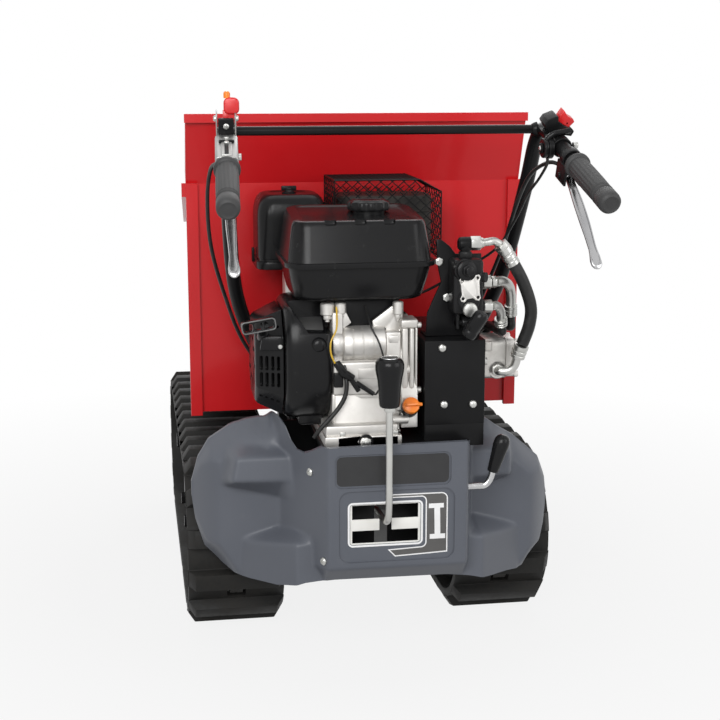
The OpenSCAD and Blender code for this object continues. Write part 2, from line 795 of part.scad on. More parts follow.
// Engine block with its barrel, base flange, tank posts and bosses.
module crankcase() {
  w = case_r - case_l;
  placed() color("#b4b1ab") difference() {
    union() {
      translate([case_l, crank_y, crank_z]) x_rod(98, w, 96);
      translate([case_l, 0, 0]) along_x(w) polygon([[-372, base_z + 17], [-372, 500], [-355, 545],
        [-300, 636],
        [-198, 642], [-168, 578], [-168, base_z + 17]]);
      block(case_l, case_r - 2, -398, -148, base_z, base_z + 18);
      for (x = [-78, 4]) {
        translate([x, -352, 560]) cylinder(r = 13, h = tank_seam_z - 60 - 560, $fn = 32);
      }
      translate([-47, -398, base_z + 9]) rotate([90, 0, 0]) cylinder(r = 9, h = 7, $fn = 6);
    }
    translate([case_l - 1, crank_y, crank_z]) x_rod(crank_r + run_fit, w + 2);
    translate([case_l + 12, crank_y, crank_z]) x_rod(72, w - 11);
  }
}

// Ribbed cover on the output side of the block.
module crankcase_cover() {
  w = cover_r - case_r;
  placed() color("#bab7b1") difference() {
    union() {
      translate([case_r, crank_y, crank_z]) x_rod(104, 14, 96);
      translate([case_r, crank_y, crank_z]) x_rod(80, w, 96);
      translate([case_r, 0, 0]) along_x(w) polygon([[-382, 446], [-382, 500], [-355, 560],
        [-280, 560], [-200, 446]]);
      for (a = [20:40:340]) {
        translate([case_r, crank_y, crank_z]) rotate([a, 0, 0]) translate([0, 96, 0]) x_rod(10, 20, 32);
      }
      for (a = [0:30:359]) {
        translate([case_r, crank_y, crank_z]) rotate([a, 0, 0]) block(10, 22, 40, 100, -3, 3);
      }
    }
    translate([case_r - 1, crank_y, crank_z]) x_rod(crank_r + run_fit, w + 2);
    translate([34, -380, 480]) rotate([62, 0, 0]) translate([0, 0, -40])
      cylinder(r = 9 + run_fit, h = 60, $fn = 32);
  }
}

module cylinder_head() {
  placed() color("#a9a7a2") translate([0, crank_y, crank_z]) rotate([25, 0, 0]) {
    block(case_l + 6, case_r + 14, 107, 200, -46, 46);
    for (y = [110:12:182]) {
      block(case_l + 1, case_r + 24, y, y + 4, -58, 58);
    }
    block(case_l + 3, case_r + 20, 200, 222, -56, 56);
    translate([-36, 222, 0]) along_y(20) polygon(round_rect(92, 84, 14));
  }
}

// Fan shroud round the flywheel with a duct to the cylinder.
module fan_shroud() {
  w = case_l - shroud_l;
  placed() color("#1c1c1d") difference() {
    union() {
      translate([shroud_l, crank_y, crank_z]) x_rod(shroud_r, w, 96);
      translate([shroud_l, 0, 0]) along_x(w) polygon([[-378, 560], [-340, 652], [-216, 655],
        [-190, 604], [-100, 580],
        [-84, 550], [-100, 520], [-280, 450], [-376, 545]]);
      translate([shroud_l + 8, 0, 0]) along_x(w - 10) polygon([[-372, 456], [-340, 440],
        [-230, 440], [-200, 470], [-360, 500]]);
    }
    translate([shroud_l - 1, crank_y, crank_z]) x_rod(shroud_r - 8, w - 4, 96);
    translate([shroud_l + 5, 0, 0]) along_x(w - 8) polygon([[-230, 642], [-224, 642], [-198, 596],
      [-108, 572], [-94, 550], [-106, 530], [-220, 520]]);
    translate([-100, crank_y, crank_z]) x_rod(40, 20);
  }
}

// Recoil starter cap with slots, holes and the rope channel.
module recoil_starter() {
  w = shroud_l - recoil_l;
  placed() color("#202021") difference() {
    union() {
      translate([recoil_l + 16, crank_y, crank_z]) x_rod(shroud_r - 4, w - 16, 12);
      translate([recoil_l, crank_y, crank_z]) rotate([0, 90, 0])
        cylinder(r1 = 88, r2 = shroud_r - 4, h = 16, $fn = 12);
      translate([-210, -346, 608]) rotate([52, 0, 0]) translate([0, 0, -14])
        cylinder(r = 15, h = 34, $fn = 32);
    }
    translate([recoil_l + 5, crank_y, crank_z]) x_rod(80, w, 64);
    translate([recoil_l + 20, crank_y, crank_z]) x_rod(shroud_r - 10, w, 12);
    for (x = [0:3]) {
      for (z = [-38, 4]) {
        block(recoil_l + 20 + 10 * x, recoil_l + 25 + 10 * x, -395, -330, crank_z + z, crank_z + z + 32);
      }
      translate([recoil_l + 21 + 10 * x, crank_y, crank_z + 60]) cylinder(r = 3.5, h = 70, $fn = 24);
      translate([recoil_l + 21 + 10 * x, crank_y, crank_z - 130]) cylinder(r = 3.5, h = 70, $fn = 24);
    }
    for (a = [0:30:359]) {
      translate([recoil_l - 1, crank_y, crank_z]) rotate([a, 0, 0]) block(0, 8, 40, 76, -4, 4);
    }
    translate([-210, -346, 608]) rotate([52, 0, 0]) translate([0, 0, -70])
      cylinder(r = 4, h = 120, $fn = 24);
  }
}

// Pull handle with the end of its rope.
module starter_handle() {
  placed() color("#161617") translate([-210, -346, 608]) rotate([52, 0, 0]) {
    translate([0, 0, -64]) cylinder(r = 2.5, h = 85, $fn = 24);
    translate([0, 0, 20.6]) cylinder(r1 = 7, r2 = 9, h = 10, $fn = 32);
    translate([-29, -8, 30]) cube([58, 16, 14]);
  }
}

// Turning group: flywheel, output shaft, belt pulley and pump coupling.
module crankshaft() {
  placed() color("#8f9091") translate([0, crank_y, crank_z]) {
    translate([-160, 0, 0]) x_rod(crank_r, 320);
    difference() {
      translate([-150, 0, 0]) x_rod(96, 42, 96);
      translate([-151, 0, 0]) x_rod(crank_r + run_fit, 44);
      for (a = [0:30:359]) {
        rotate([a, 0, 0]) block(-151, -125, 55, 90, -5, 5);
      }
    }
    difference() {
      translate([pulley_l, 0, 0]) pulley(drive_r);
      translate([pulley_l - 1, 0, 0]) x_rod(crank_r + run_fit, pulley_w + 2);
    }
  }
}

// Belt pulley with two flanges, from x = 0.
module pulley(r) {
  x_rod(r + 7, 4, 64);
  translate([4, 0, 0]) x_rod(r, pulley_w - 8, 64);
  translate([pulley_w - 4, 0, 0]) x_rod(r + 7, 4, 64);
}

module driven_pulley() {
  placed() color("#8f9091") translate([pulley_l, input_y, input_z]) {
    difference() {
      pulley(driven_r);
      for (a = [0:60:359]) {
        rotate([a, 0, 0]) translate([-1, 36, 0]) x_rod(9, pulley_w + 2);
      }
    }
    translate([-88, 0, 0]) x_rod(12, 88);
    translate([pulley_w, 0, 0]) x_rod(18, 5, 6);
  }
}

module drive_belt() {
  placed() color("#161615") translate([pulley_l + 4.5, 0, 0]) along_x(pulley_w - 9) difference() {
    polygon(belt([crank_y, crank_z], drive_r + 6, [input_y, input_z], driven_r + 6));
    polygon(belt([crank_y, crank_z], drive_r + 0.5, [input_y, input_z], driven_r + 0.5));
  }
}

// Steel box over the belt, open below, which also carries the pump.
module belt_guard() {
  t = 3;
  placed() color("#17171a") difference() {
    translate([guard_l, guard_y, base_z]) cube([guard_r - guard_l, guard_d, guard_top - base_z]);
    block(guard_l + t, guard_r - t, guard_y + t, guard_y + guard_d - t, 400, guard_top - t);
    block(guard_l + t, guard_r + 1, guard_y - 1, guard_y + guard_d + 1, base_z - 1, guard_low);
    translate([guard_l - 1, crank_y, crank_z]) x_rod(30, 6);
    translate([guard_r - 4, crank_y, crank_z]) x_rod(22 + run_fit, 6);
  }
}

// Plate that carries the control valve above the belt guard.
module valve_bracket() {
  placed() color("#17171a") {
    translate([0, -340, 0]) along_y(5)
      polygon([[70, guard_top], [70, 640], [97, 700], [97, 758], [108, 758], [132, 738],
        [166, 738], [166, guard_top]]);
    block(70, 166, -335, -290, guard_top, guard_top + 5);
  }
}

// Valve block with end plate, cap, relief cartridge and top port.
module control_valve() {
  placed() color("#2a2a2c") {
    block(112, 166, -385, -340, 640, 734);
    translate([138, -385, 712]) rotate([90, 0, 0]) cylinder(r = 16, h = 12, $fn = 48);
    translate([138, -397, 712]) rotate([90, 0, 0]) cylinder(r = 10, h = 10, $fn = 6);
    translate([138, -389, 677]) along_y(4) polygon(round_rect(34, 34, 6));
    translate([138, -385, 652]) rotate([90, 0, 0]) cylinder(r = 11.5, h = 12, $fn = 48);
    translate([132, -362, 734]) cylinder(r = 12, h = 12, $fn = 6);
    for (x = [121, 160]) {
      block(x, x + 6, -368, -348, 612, 640);
    }
    translate([121, -358, 622]) x_rod(5, 45);
  }
}

// Short handle on the valve spool.
module valve_handle() {
  placed() color("#1b1b1d") {
    translate([124, -420, 609]) rotate([32, 0, 60]) cylinder(r = 13, h = 50, $fn = 48);
    block(128, 140, -424, -366, 611, 621);
    difference() {
      translate([127.6, -358, 622]) x_rod(12, 32);
      translate([120, -358, 622]) x_rod(5 + run_fit, 60);
    }
  }
}

// Gear pump on the side of the belt guard.
module gear_pump() {
  placed() color("#c2c1bc") {
    translate([guard_r, crank_y, crank_z]) along_x(12) polygon(round_rect(120, 64, 14));
    translate([guard_r + 12, crank_y, crank_z]) along_x(44) polygon(round_rect(78, 72, 12));
    translate([guard_r + 56, crank_y, crank_z]) along_x(18) polygon(round_rect(74, 68, 10));
    translate([guard_r - 3, crank_y, crank_z]) x_rod(22, 3);
  }
}

function press_route() = curve([[222, -345, 719], [240, -345, 686], [254, -345, 645],
  [253, -342, 611], [243, -336, 578]], 4);

// Elbows, nuts and ferrules of the hoses.
module hydraulic_fittings() {
  placed() color("#c3c4c4") {
    translate([132, -362, 746]) cylinder(r = 9, h = 20, $fn = 32);
    translate([140.5, -362, 757]) x_rod(10, 18, 6);
    sweep(curve([[158, -362, 757], [172, -358, 757], [186, -350, 757], [202, -346, 749],
      [210, -345, 740]], 3), 7, 10);
    sweep([[209.5, -345, 742], [221.5, -345, 720]], 13, 12);
    translate([166, -352, 690]) x_rod(10, 22, 6);
    sweep(curve([[188, -352, 690], [204, -340, 689], [220, -322, 678], [227, -312, 660],
      [229, -306, 642]], 3), 9, 10);
    sweep([[229, -306, 642], [231, -300, 622]], 11, 10);
    translate([166, -362, 650]) x_rod(9, 14, 6);
    sweep(curve([[180, -362, 650], [192, -352, 648], [202, -340, 636], [205, -330, 622]], 3), 8, 10);
    sweep([[205, -330, 622], [208, -322, 610]], 11, 10);
    sweep([[242.2, -335.5, 575], [236, -329, 552]], 13, 12);
    sweep(curve([[236, -329, 552], [232, -326, 536], [222, -323, 527], [208, -319, 526],
      [206, -314, 526]], 3), 8, 10);
    translate([206, -316, 526]) y_rod(10, 6.9, 6);
  }
}

// Hoses: pump to valve, and two along the right rail to the lift cylinder.
module hydraulic_hoses() {
  lift = [[231.03, -299.9, 621.7], [231.98, -297.04, 612.2], [233.1, -293.6, 600.7],
    [230, -262, 598], [222, -225, 592], [208, -190, 566], [193, -150, 500], [180, -115, 430],
    [161, -95, 386], [154, -50, 366], [150, 0, 358], [132, 70, 340], [118, 140, 316],
    [118, 330, 312], [104, 412, 310], [60, 434, 306], [22, 490, 290], [4, 526, 248],
    [0, 540.6, 230.6], [0, 549.9, 223], [0, 557.6, 216.6]];
  lower = [[208.06, -321.84, 609.76], [209.69, -317.5, 603.24], [211.73, -312.07, 595.1],
    [206, -270, 596], [197, -232, 592], [186, -195, 556], [178, -160, 490], [174, -130, 420],
    [158, -110, 364], [154, -60, 345], [150, 0, 338], [134, 70, 318], [118, 140, 296],
    [118, 330, 290], [104, 414, 286], [70, 432, 276], [42, 480, 278], [30, 540, 304],
    [12, 590, 338], [0, 619.9, 326.3], [0, 629.1, 318.7], [0, 636.9, 312.3]];
  placed() color("#1a1a1b") {
    sweep(press_route(), hose_r, 12);
    sweep(curve(lift, 2), 8, 10);
    sweep(curve(lower, 2), 8, 10);
  }
}

// Oil tank between the rails under the bin.
module hydraulic_tank() {
  hw = rail_x - rail_w / 2;
  placed() color("#1d1d1e") {
    block(-hw, hw, 210, 400, 250, 385);
    translate([0, 230, 250]) rotate([180, 0, 0]) cylinder(r = 12, h = 10, $fn = 6);
  }
}

// Fuel tank: lower half, seam flange and tapered upper half with the filler neck.
module fuel_tank() {
  a = round_rect(tank_l - 14, tank_d - 14, 30, 3);
  b = round_rect(tank_l - 60, tank_d - 60, 24, 3);
  c = round_rect(tank_l - 44, tank_d - 44, 26, 3);
  placed() color("#151516") translate([tank_x, tank_y, 0]) {
    frustum(c, a, tank_seam_z - 60, tank_seam_z);
    translate([0, 0, tank_seam_z]) linear_extrude(8) polygon(round_rect(tank_l, tank_d, 34, 4));
    frustum(a, b, tank_seam_z + 8, tank_seam_z + tank_top_h);
    translate([28, 10, tank_seam_z + tank_top_h - 1]) cylinder(r = cap_r - 8, h = 9, $fn = 48);
  }
}

module fuel_cap() {
  placed() color("#1a1a1b") translate([tank_x + 28, tank_y + 10, tank_seam_z + tank_top_h + 8.4]) {
    cylinder(r = cap_r, h = 14, $fn = 64);
    for (a = [0:15:359]) {
      rotate([0, 0, a]) translate([cap_r - 1, -2, 1]) cube([2.5, 4, 12]);
    }
    translate([0, 0, 14]) cylinder(r1 = cap_r - 2, r2 = cap_r - 8, h = 5, $fn = 64);
  }
}

// Air cleaner box on its elbow, with a wing nut on top.
module air_cleaner() {
  a = round_rect(126, 132, 22, 3);
  b = round_rect(104, 110, 20, 3);
  placed() color("#1a1a1b") translate([-138, -98, 0]) {
    translate([0, 0, 692]) linear_extrude(16) polygon(round_rect(132, 138, 22, 3));
    frustum(a, a, 708, 800);
    frustum(a, b, 800, 826);
    translate([0, 0, 826]) cylinder(r = 12, h = 4, $fn = 32);
    translate([-14, -2, 830]) cube([28, 4, 8]);
  }
}

// Carburettor between the air cleaner and the cylinder.
module carburettor() {
  placed() color("#9d9c98") {
    translate([-128, -112, 612]) linear_extrude(80) polygon(round_rect(46, 56, 10));
    translate([-106, -104, 632]) x_rod(15, 13);
    translate([-128, -140, 640]) rotate([90, 0, 0]) cylinder(r = 7, h = 10, $fn = 32);
  }
}

module muffler() {
  placed() color("#4b4540") {
    translate([36, -92, 716]) linear_extrude(124) polygon(round_rect(176, 112, 30, 4));
    difference() {
      translate([10, -98, 670]) cylinder(r = 14, h = 46, $fn = 32);
      translate([0, crank_y, crank_z]) rotate([25, 0, 0]) block(case_l, cover_r, 100, 260, -70, 56);
    }
  }
}

// Outline of a mesh panel with rows of diamond holes.
module mesh(w, h, px, py) {
  difference() {
    square([w, h], center = true);
    for (i = [-floor((w / 2 - 10) / px):floor((w / 2 - 10) / px)]) {
      for (j = [-floor((h / 2 - 8) / py):floor((h / 2 - 8) / py)]) {
        translate([i * px, j * py]) polygon([[-px / 2 + 1, 0], [0, 1 - py / 2], [px / 2 - 1, 0],
          [0, py / 2 - 1]]);
      }
    }
  }
}

// Open mesh box round the muffler.
module muffler_guard() {
  placed() color("#1a1a1b") translate([36, -92, 780]) {
    translate([0, -70, 0]) along_y(2) mesh(196, 142, 20, 17);
    translate([0, 68, 0]) along_y(2) mesh(196, 142, 20, 17);
    translate([-98, 0, 0]) along_x(2) mesh(136, 142, 18, 17);
    translate([96, 0, 0]) along_x(2) mesh(136, 142, 18, 17);
    translate([0, 0, 69]) linear_extrude(2) mesh(192, 136, 20, 17);
    for (x = [-96.5, 88]) {
      block(x, x + 8.5, -18, 18, -64, -60);
    }
  }
}

module oil_dipstick() {
  placed() color("#e8821e") translate([34, -380, 480]) rotate([62, 0, 0]) {
    translate([0, 0, -30]) cylinder(r = 9, h = 47, $fn = 32);
    translate([0, 0, 12.4]) cylinder(r = 14, h = 10, $fn = 48);
    translate([-2.5, -13, 20]) cube([5, 26, 9]);
  }
}

function tube_route() = concat(
  curve([[124, -70, 404], [150, -76, 440], [196, -104, 530], [232, -136, 614], [250, -186, 700],
    [262, -270, 850],
    [265, -310, 922], [268, -344, 948], top_bend + 58 * grip_dir], 4), [grip_end - 4 * grip_dir]);

// Two bent tubes with foot plates and the cross bar between them.
module handlebar() {
  placed() color("#18181a") {
    for (s = [-1, 1]) {
      mirror([s < 0 ? 1 : 0, 0, 0]) {
        sweep(tube_route(), tube_r, 16);
        block(rail_x + rail_w / 2, 142, -95, -45, 390, 408);
      }
    }
    translate([-258, -338, 946]) x_rod(9, 516);
  }
}

module grips() {
  placed() color("#2b2b2d") {
    for (s = [-1, 1]) {
      on_grip(s, grip_run - grip_l) difference() {
        union() {
          translate([0, -grip_l - 4, 0]) y_rod(grip_r, grip_l + 4);
          translate([0, -8, 0]) y_rod(grip_r + 3, 8);
        }
        translate([0, -grip_l + 1, 0]) y_rod(tube_r + run_fit, grip_l);
      }
    }
  }
}

// Two plates under the tube with the pin of a hand lever and the stop of its cable.
module lever_ears() {
  for (s = [-1, 1]) {
    translate([s * 13.5 - 2, 0, 0]) block(0, 4, -36, 6, -lever_drop - 10, -7);
  }
  block(-13, 13, 2, 6, -lever_drop - 4, -lever_drop + 8);
  translate([-18, -12, -lever_drop]) x_rod(lever_pin_r, 36, 32);
}

// Pressed channel over the tube, open below, with a saddle at each end.
module lever_channel(l) {
  w = 2 * tube_r + 10;
  translate([0, -36, 0]) difference() {
    along_y(l) polygon(round_rect(w, w, 6));
    block(3 - w / 2, w / 2 - 3, 8, l - 8, -w / 2 - 1, w / 2 - 3);
    translate([0, -1, 0]) y_rod(tube_r + run_fit, l + 2);
  }
}

// Ring round the tube, from t to t + l behind the bend of the bar.
module tube_clamp(l, r) {
  translate([0, -l, 0]) difference() {
    y_rod(r, l);
    translate([0, -1, 0]) y_rod(tube_r + run_fit, l + 2);
  }
}

module clutch_bracket() {
  placed() color("#b9bbbd") {
    on_grip(-1, lever_t - 12) {
      lever_ears();
      lever_channel(92);
    }
    on_grip(-1, 62) {
      tube_clamp(16, tube_r + 5);
      for (x = [-10, 7]) {
        block(x, x + 3, -14, -2, tube_r + 2, latch_z + 8);
      }
      translate([-10, -8, latch_z]) x_rod(3, 20, 24);
    }
  }
}

// Flat hand lever with a ball end.
module hand_lever() {
  translate([0, -12, -lever_drop]) {
    difference() {
      translate([-9, 0, 0]) x_rod(8, 18);
      translate([-12, 0, 0]) x_rod(lever_pin_r + run_fit, 24, 32);
    }
    rotate([30, 0, 0]) {
      block(-8, 8, 7 - lever_l, -7.2, -4, 4);
      translate([0, 6 - lever_l, 0]) sphere(r = 11, $fn = 32);
    }
  }
}

module clutch_lever() {
  placed() color("#cfd0d1") on_grip(-1, lever_t - 12) hand_lever();
}

// Catch on top of the left bracket that holds the lever.
module clutch_latch() {
  placed() color("#c21d20") on_grip(-1, 62) translate([0, -8, latch_z]) difference() {
    union() {
      translate([-6, 0, 0]) x_rod(7, 12);
      rotate([-20, 0, 0]) {
        block(-5, 5, -5, 5, 4, 16);
        translate([-6, -6, 23]) along_y(12) polygon(round_rect(26, 18, 7));
        translate([0, 0, 31]) cylinder(r = 5.5, h = 11, $fn = 32);
      }
    }
    translate([-8, 0, 0]) x_rod(3 + run_fit, 16, 24);
  }
}

// Right clamp group: lever ears, throttle boss inside the bar and switch housing on top.
module brake_bracket() {
  placed() color("#18181a") {
    on_grip(1, lever_t - 12) {
      lever_ears();
      translate([0, -4, 0]) tube_clamp(18, clamp_r);
    }
    on_grip(1, 94) {
      tube_clamp(16, clamp_r);
      translate([-throttle_x, -8, throttle_z]) x_rod(17, throttle_x - tube_r - 2);
      translate([-throttle_x - 9, -8, throttle_z]) x_rod(4, 9, 32);
    }
    on_grip(1, 58) {
      translate([0, -6, 0]) tube_clamp(14, clamp_r);
      difference() {
        translate([0, -26, 0]) along_y(26) polygon([[-25, 13.3], [24, 13.3], [29, 18], [29, 34],
          [-12, 34], [-25, 24]]);
        block(switch_x - 13, switch_x + 13, -24, -4, switch_z - 7, 35);
      }
      translate([switch_x, -25, switch_z]) y_rod(2, 22, 24);
    }
  }
}

module brake_lever() {
  placed() color("#cfd0d1") on_grip(1, lever_t - 12) hand_lever();
}

// Thumb lever on the throttle boss: a disc and a finger over the bar.
module throttle_lever() {
  placed() color("#18181a") on_grip(1, 94) translate([-throttle_x, -8, throttle_z]) difference() {
    union() {
      translate([-7.4, 0, 0]) x_rod(16, 7);
      block(-7.4, -1.4, -5, 5, 10, 28);
      translate([-7.4, 0, 26]) along_x(56) polygon(round_rect(10, 7, 3));
    }
    translate([-9, 0, 0]) x_rod(4 + run_fit, 12, 32);
  }
}

// Stop switch rocker in its housing.
module stop_rocker() {
  placed() color("#c21d20") on_grip(1, 58) translate([switch_x, -23, switch_z]) difference() {
    along_y(18) polygon([[-11, -2], [0, -5], [11, -2], [12, 7], [0, 6], [-11.5, 12]]);
    translate([0, -1, 0]) y_rod(2 + run_fit, 20, 24);
  }
}

// Cables along the handlebar tubes, and the leads of the engine.
module control_cables() {
  clutch = [[-274.6, -452.5, 888], [-273.9, -441.2, 891.9], [-282, -400, 900], [-294, -345, 886],
    [-298, -300, 830], [-290, -245, 745],
    [-264, -188, 650], [-230, -148, 560], [-165, -125, 460], [-136, -130, 400], [-128, -138, 330],
    [-100, -130, 285], [-76, -122, 262], [-64, -118, 253.4]];
  brake = [[274.6, -452.5, 888], [273.9, -441.2, 891.9], [262, -404, 896], [248, -345, 872],
    [238, -300, 820], [228, -245, 735],
    [208, -185, 640], [186, -142, 560], [160, -114, 470], [140, -104, 425], [118, -102, 416],
      [106, -102, 416]];
  throttle = [[253, -425.1, 904.7], [253, -421.3, 892.5], [249, -392, 868], [242, -350, 838],
    [234, -306, 792],
    [212, -260, 735], [160, -212, 690], [110, -192, 656], [70, -190, 642], [44.4, -190, 640]];
  stop_lead = [[-78, -371.8, 556], [-77, -380, 530], [-84, -388, 480], [-102, -392, 444],
    [-112, -392, 424.8]];
  spark_lead = [[-84, -366, 650], [-96, -376, 620], [-98, -384, 590], [-88, -384, 566]];
  placed() color("#141415") {
    sweep(curve(clutch, 3), 3.5, 8);
    sweep(curve(brake, 3), 3.5, 8);
    sweep(curve(throttle, 3), 2.5, 8);
    sweep(curve(stop_lead, 3), 4, 8);
    sweep(curve(spark_lead, 3), 1.6, 8);
  }
}

main_frame();
gearbox_case();
left_track_frame();
right_track_frame();
left_track();
right_track();
left_sprocket();
right_sprocket();
left_idler();
right_idler();
left_roller_rear();
left_roller_mid();
left_roller_front();
right_roller_rear();
right_roller_mid();
right_roller_front();
fairing();
shift_gate();
shift_lever();
shift_knob();
side_lever();
side_knob();
bin_shell();
fasteners();
cylinder_barrel();
cylinder_rod();
crankcase();
crankcase_cover();
cylinder_head();
fan_shroud();
recoil_starter();
starter_handle();
crankshaft();
driven_pulley();
drive_belt();
belt_guard();
valve_bracket();
control_valve();
valve_handle();
gear_pump();
hydraulic_fittings();
hydraulic_hoses();
hydraulic_tank();
fuel_tank();
fuel_cap();
air_cleaner();
carburettor();
muffler();
muffler_guard();
oil_dipstick();
handlebar();
grips();
clutch_bracket();
clutch_lever();
clutch_latch();
brake_bracket();
brake_lever();
throttle_lever();
stop_rocker();
control_cables();
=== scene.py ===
"""Looks of the tracked power carrier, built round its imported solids. Metres, +Z up."""

import json
import math

import bpy
import numpy as np
from mathutils import Matrix, Vector

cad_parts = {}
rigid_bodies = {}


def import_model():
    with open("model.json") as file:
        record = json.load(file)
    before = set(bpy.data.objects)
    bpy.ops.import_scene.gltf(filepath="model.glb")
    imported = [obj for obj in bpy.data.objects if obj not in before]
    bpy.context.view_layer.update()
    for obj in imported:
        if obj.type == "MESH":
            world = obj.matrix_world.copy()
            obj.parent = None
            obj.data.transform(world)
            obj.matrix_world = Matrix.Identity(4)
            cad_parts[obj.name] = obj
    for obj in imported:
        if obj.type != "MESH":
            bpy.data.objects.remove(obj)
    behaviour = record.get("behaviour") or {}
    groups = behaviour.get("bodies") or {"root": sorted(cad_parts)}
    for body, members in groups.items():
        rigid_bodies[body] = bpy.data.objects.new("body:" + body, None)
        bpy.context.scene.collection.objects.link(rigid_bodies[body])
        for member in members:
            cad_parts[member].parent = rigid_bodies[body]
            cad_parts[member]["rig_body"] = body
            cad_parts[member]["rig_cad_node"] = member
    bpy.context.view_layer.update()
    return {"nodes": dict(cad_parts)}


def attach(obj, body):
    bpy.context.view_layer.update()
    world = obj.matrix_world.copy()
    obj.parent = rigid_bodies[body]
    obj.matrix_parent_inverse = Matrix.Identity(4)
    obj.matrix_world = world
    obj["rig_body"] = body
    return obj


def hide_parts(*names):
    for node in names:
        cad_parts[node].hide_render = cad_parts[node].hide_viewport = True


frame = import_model()
nodes = frame["nodes"]

# The drawing's millimetres start at the bin's back wall, which lies 142 mm ahead of the middle.
BACK_WALL = 142.0


def at(x, y, z):
    """A point of the drawing, in millimetres, as a point of the scene."""
    return Vector((x, y - BACK_WALL, z)) * 0.001


def lay(points):
    """A list of drawing points as scene points."""
    return [at(*p) for p in points]


def smooth_run(points, steps, closed=False):
    """Points of a smooth curve through the given points, or of a loop."""
    pts = [np.array(p, float) for p in points]
    n = len(pts)
    out = []
    for i in range(n if closed else n - 1):
        a, b, c, d = (pts[k % n if closed else min(max(k, 0), n - 1)] for k in range(i - 1, i + 3))
        for j in range(steps):
            t = j / steps
            out.append(0.5 * (2 * b + (c - a) * t + (2 * a - 5 * b + 4 * c - d) * t * t
                              + (3 * b - a - 3 * c + d) * t ** 3))
    return out if closed else out + [pts[-1]]


def round_rect(w, d, r, steps=6, centre=(0, 0)):
    """Outline of a rectangle with rounded corners."""
    out = []
    for k, (sx, sy) in enumerate(((1, 1), (-1, 1), (-1, -1), (1, -1))):
        for i in range(steps + 1):
            a = math.radians(90 * k + 90 * i / steps)
            out.append((centre[0] + (sx * (w / 2 - r) + r * math.cos(a)),
                        centre[1] + (sy * (d / 2 - r) + r * math.sin(a))))
    return out


def ring_angles(count):
    """Evenly spaced angles round a full turn."""
    return [2 * math.pi * i / count for i in range(count)]


# ---------------------------------------------------------------- materials


def wired(tree, kind, settings=None, inputs=None):
    """A new node with its settings, and with its inputs set to values or linked to sockets."""
    made = tree.nodes.new(kind)
    for key, value in (settings or {}).items():
        setattr(made, key, value)
    for key, value in (inputs or {}).items():
        if isinstance(value, bpy.types.NodeSocket):
            tree.links.new(value, made.inputs[key])
        else:
            made.inputs[key].default_value = value
    return made


class Field:
    """A value that changes over a surface and takes part in sums and products."""

    def __init__(self, paint, socket):
        self.paint = paint
        self.socket = socket

    def _maths(self, operation, other):
        return self.paint.node("ShaderNodeMath", {"operation": operation}, {0: self, 1: other})

    def __add__(self, other):
        return self._maths("ADD", other)

    def __mul__(self, other):
        return self._maths("MULTIPLY", other)


class Paint:
    """A procedural finish: one shader, fed by patterns on Object coordinates."""

    def __init__(self, name, **constants):
        self.slot = name
        self.material = bpy.data.materials.new(name)
        self.material.use_nodes = True
        self.tree = self.material.node_tree
        self.shader = self.tree.nodes["Principled BSDF"]
        for key, value in constants.items():
            self.shader.inputs[key.replace("_", " ")].default_value = value
        self.place = self.node("ShaderNodeTexCoord", out="Object")

    def node(self, kind, settings=None, inputs=None, out=0):
        sockets = {key: value.socket if isinstance(value, Field) else value for key, value in (inputs or {}).items()}
        return Field(self, wired(self.tree, kind, settings, sockets).outputs[out])

    def feed(self, socket, field):
        self.tree.links.new(field.socket, self.shader.inputs[socket])

    def noise(self, scale, detail=3.0, rough=0.55, stretch=None):
        place = self.place
        if stretch:
            place = self.node("ShaderNodeMapping", None, {"Vector": place, "Scale": stretch})
        return self.node("ShaderNodeTexNoise", None,
                         {"Vector": place, "Scale": scale, "Detail": detail, "Roughness": rough})

    def cells(self, scale):
        return self.node("ShaderNodeTexVoronoi", {"feature": "F1"}, {"Vector": self.place, "Scale": scale})

    def band(self, field, low, high, start=0.0, stop=1.0):
        """The field between low and high, spread over start to stop and held there."""
        return self.node("ShaderNodeMapRange", {"clamp": True},
                         {"Value": field, "From Min": low, "From Max": high, "To Min": start, "To Max": stop})

    def mix(self, amount, a, b):
        """A blend of two colours, given as fields or as red, green and blue."""
        made = wired(self.tree, "ShaderNodeMix", {"data_type": "RGBA"})
        sockets = {socket.identifier: socket for socket in made.inputs}
        for key, value in (("Factor_Float", amount), ("A_Color", a), ("B_Color", b)):
            if isinstance(value, Field):
                self.tree.links.new(value.socket, sockets[key])
            else:
                sockets[key].default_value = (*value, 1.0)
        return Field(self, next(socket for socket in made.outputs if socket.identifier == "Result_Color"))

    def relief(self, *layers):
        """Bumps on the surface, each a height field, its strength and its depth in metres."""
        normal = None
        for height, strength, depth in layers:
            inputs = {"Height": height, "Strength": strength, "Distance": depth}
            if normal:
                inputs["Normal"] = normal
            normal = self.node("ShaderNodeBump", None, inputs)
        self.feed("Normal", normal)


def painted(name, light, dark, rough, spread, patch, grain, depth, strength, **constants):
    """A finish whose colour and gloss drift between two tones, with a fine grain."""
    paint = Paint(name, **constants)
    drift = paint.noise(patch, 4.0)
    fine = paint.noise(grain, 2.0)
    paint.feed("Base Color", paint.mix(paint.band(drift, 0.3, 0.7), dark, light))
    paint.feed("Roughness", paint.band(drift * 0.6 + fine * 0.4, 0.3, 0.7, rough - spread / 2, rough + spread / 2))
    paint.relief((fine, strength, depth))
    return paint


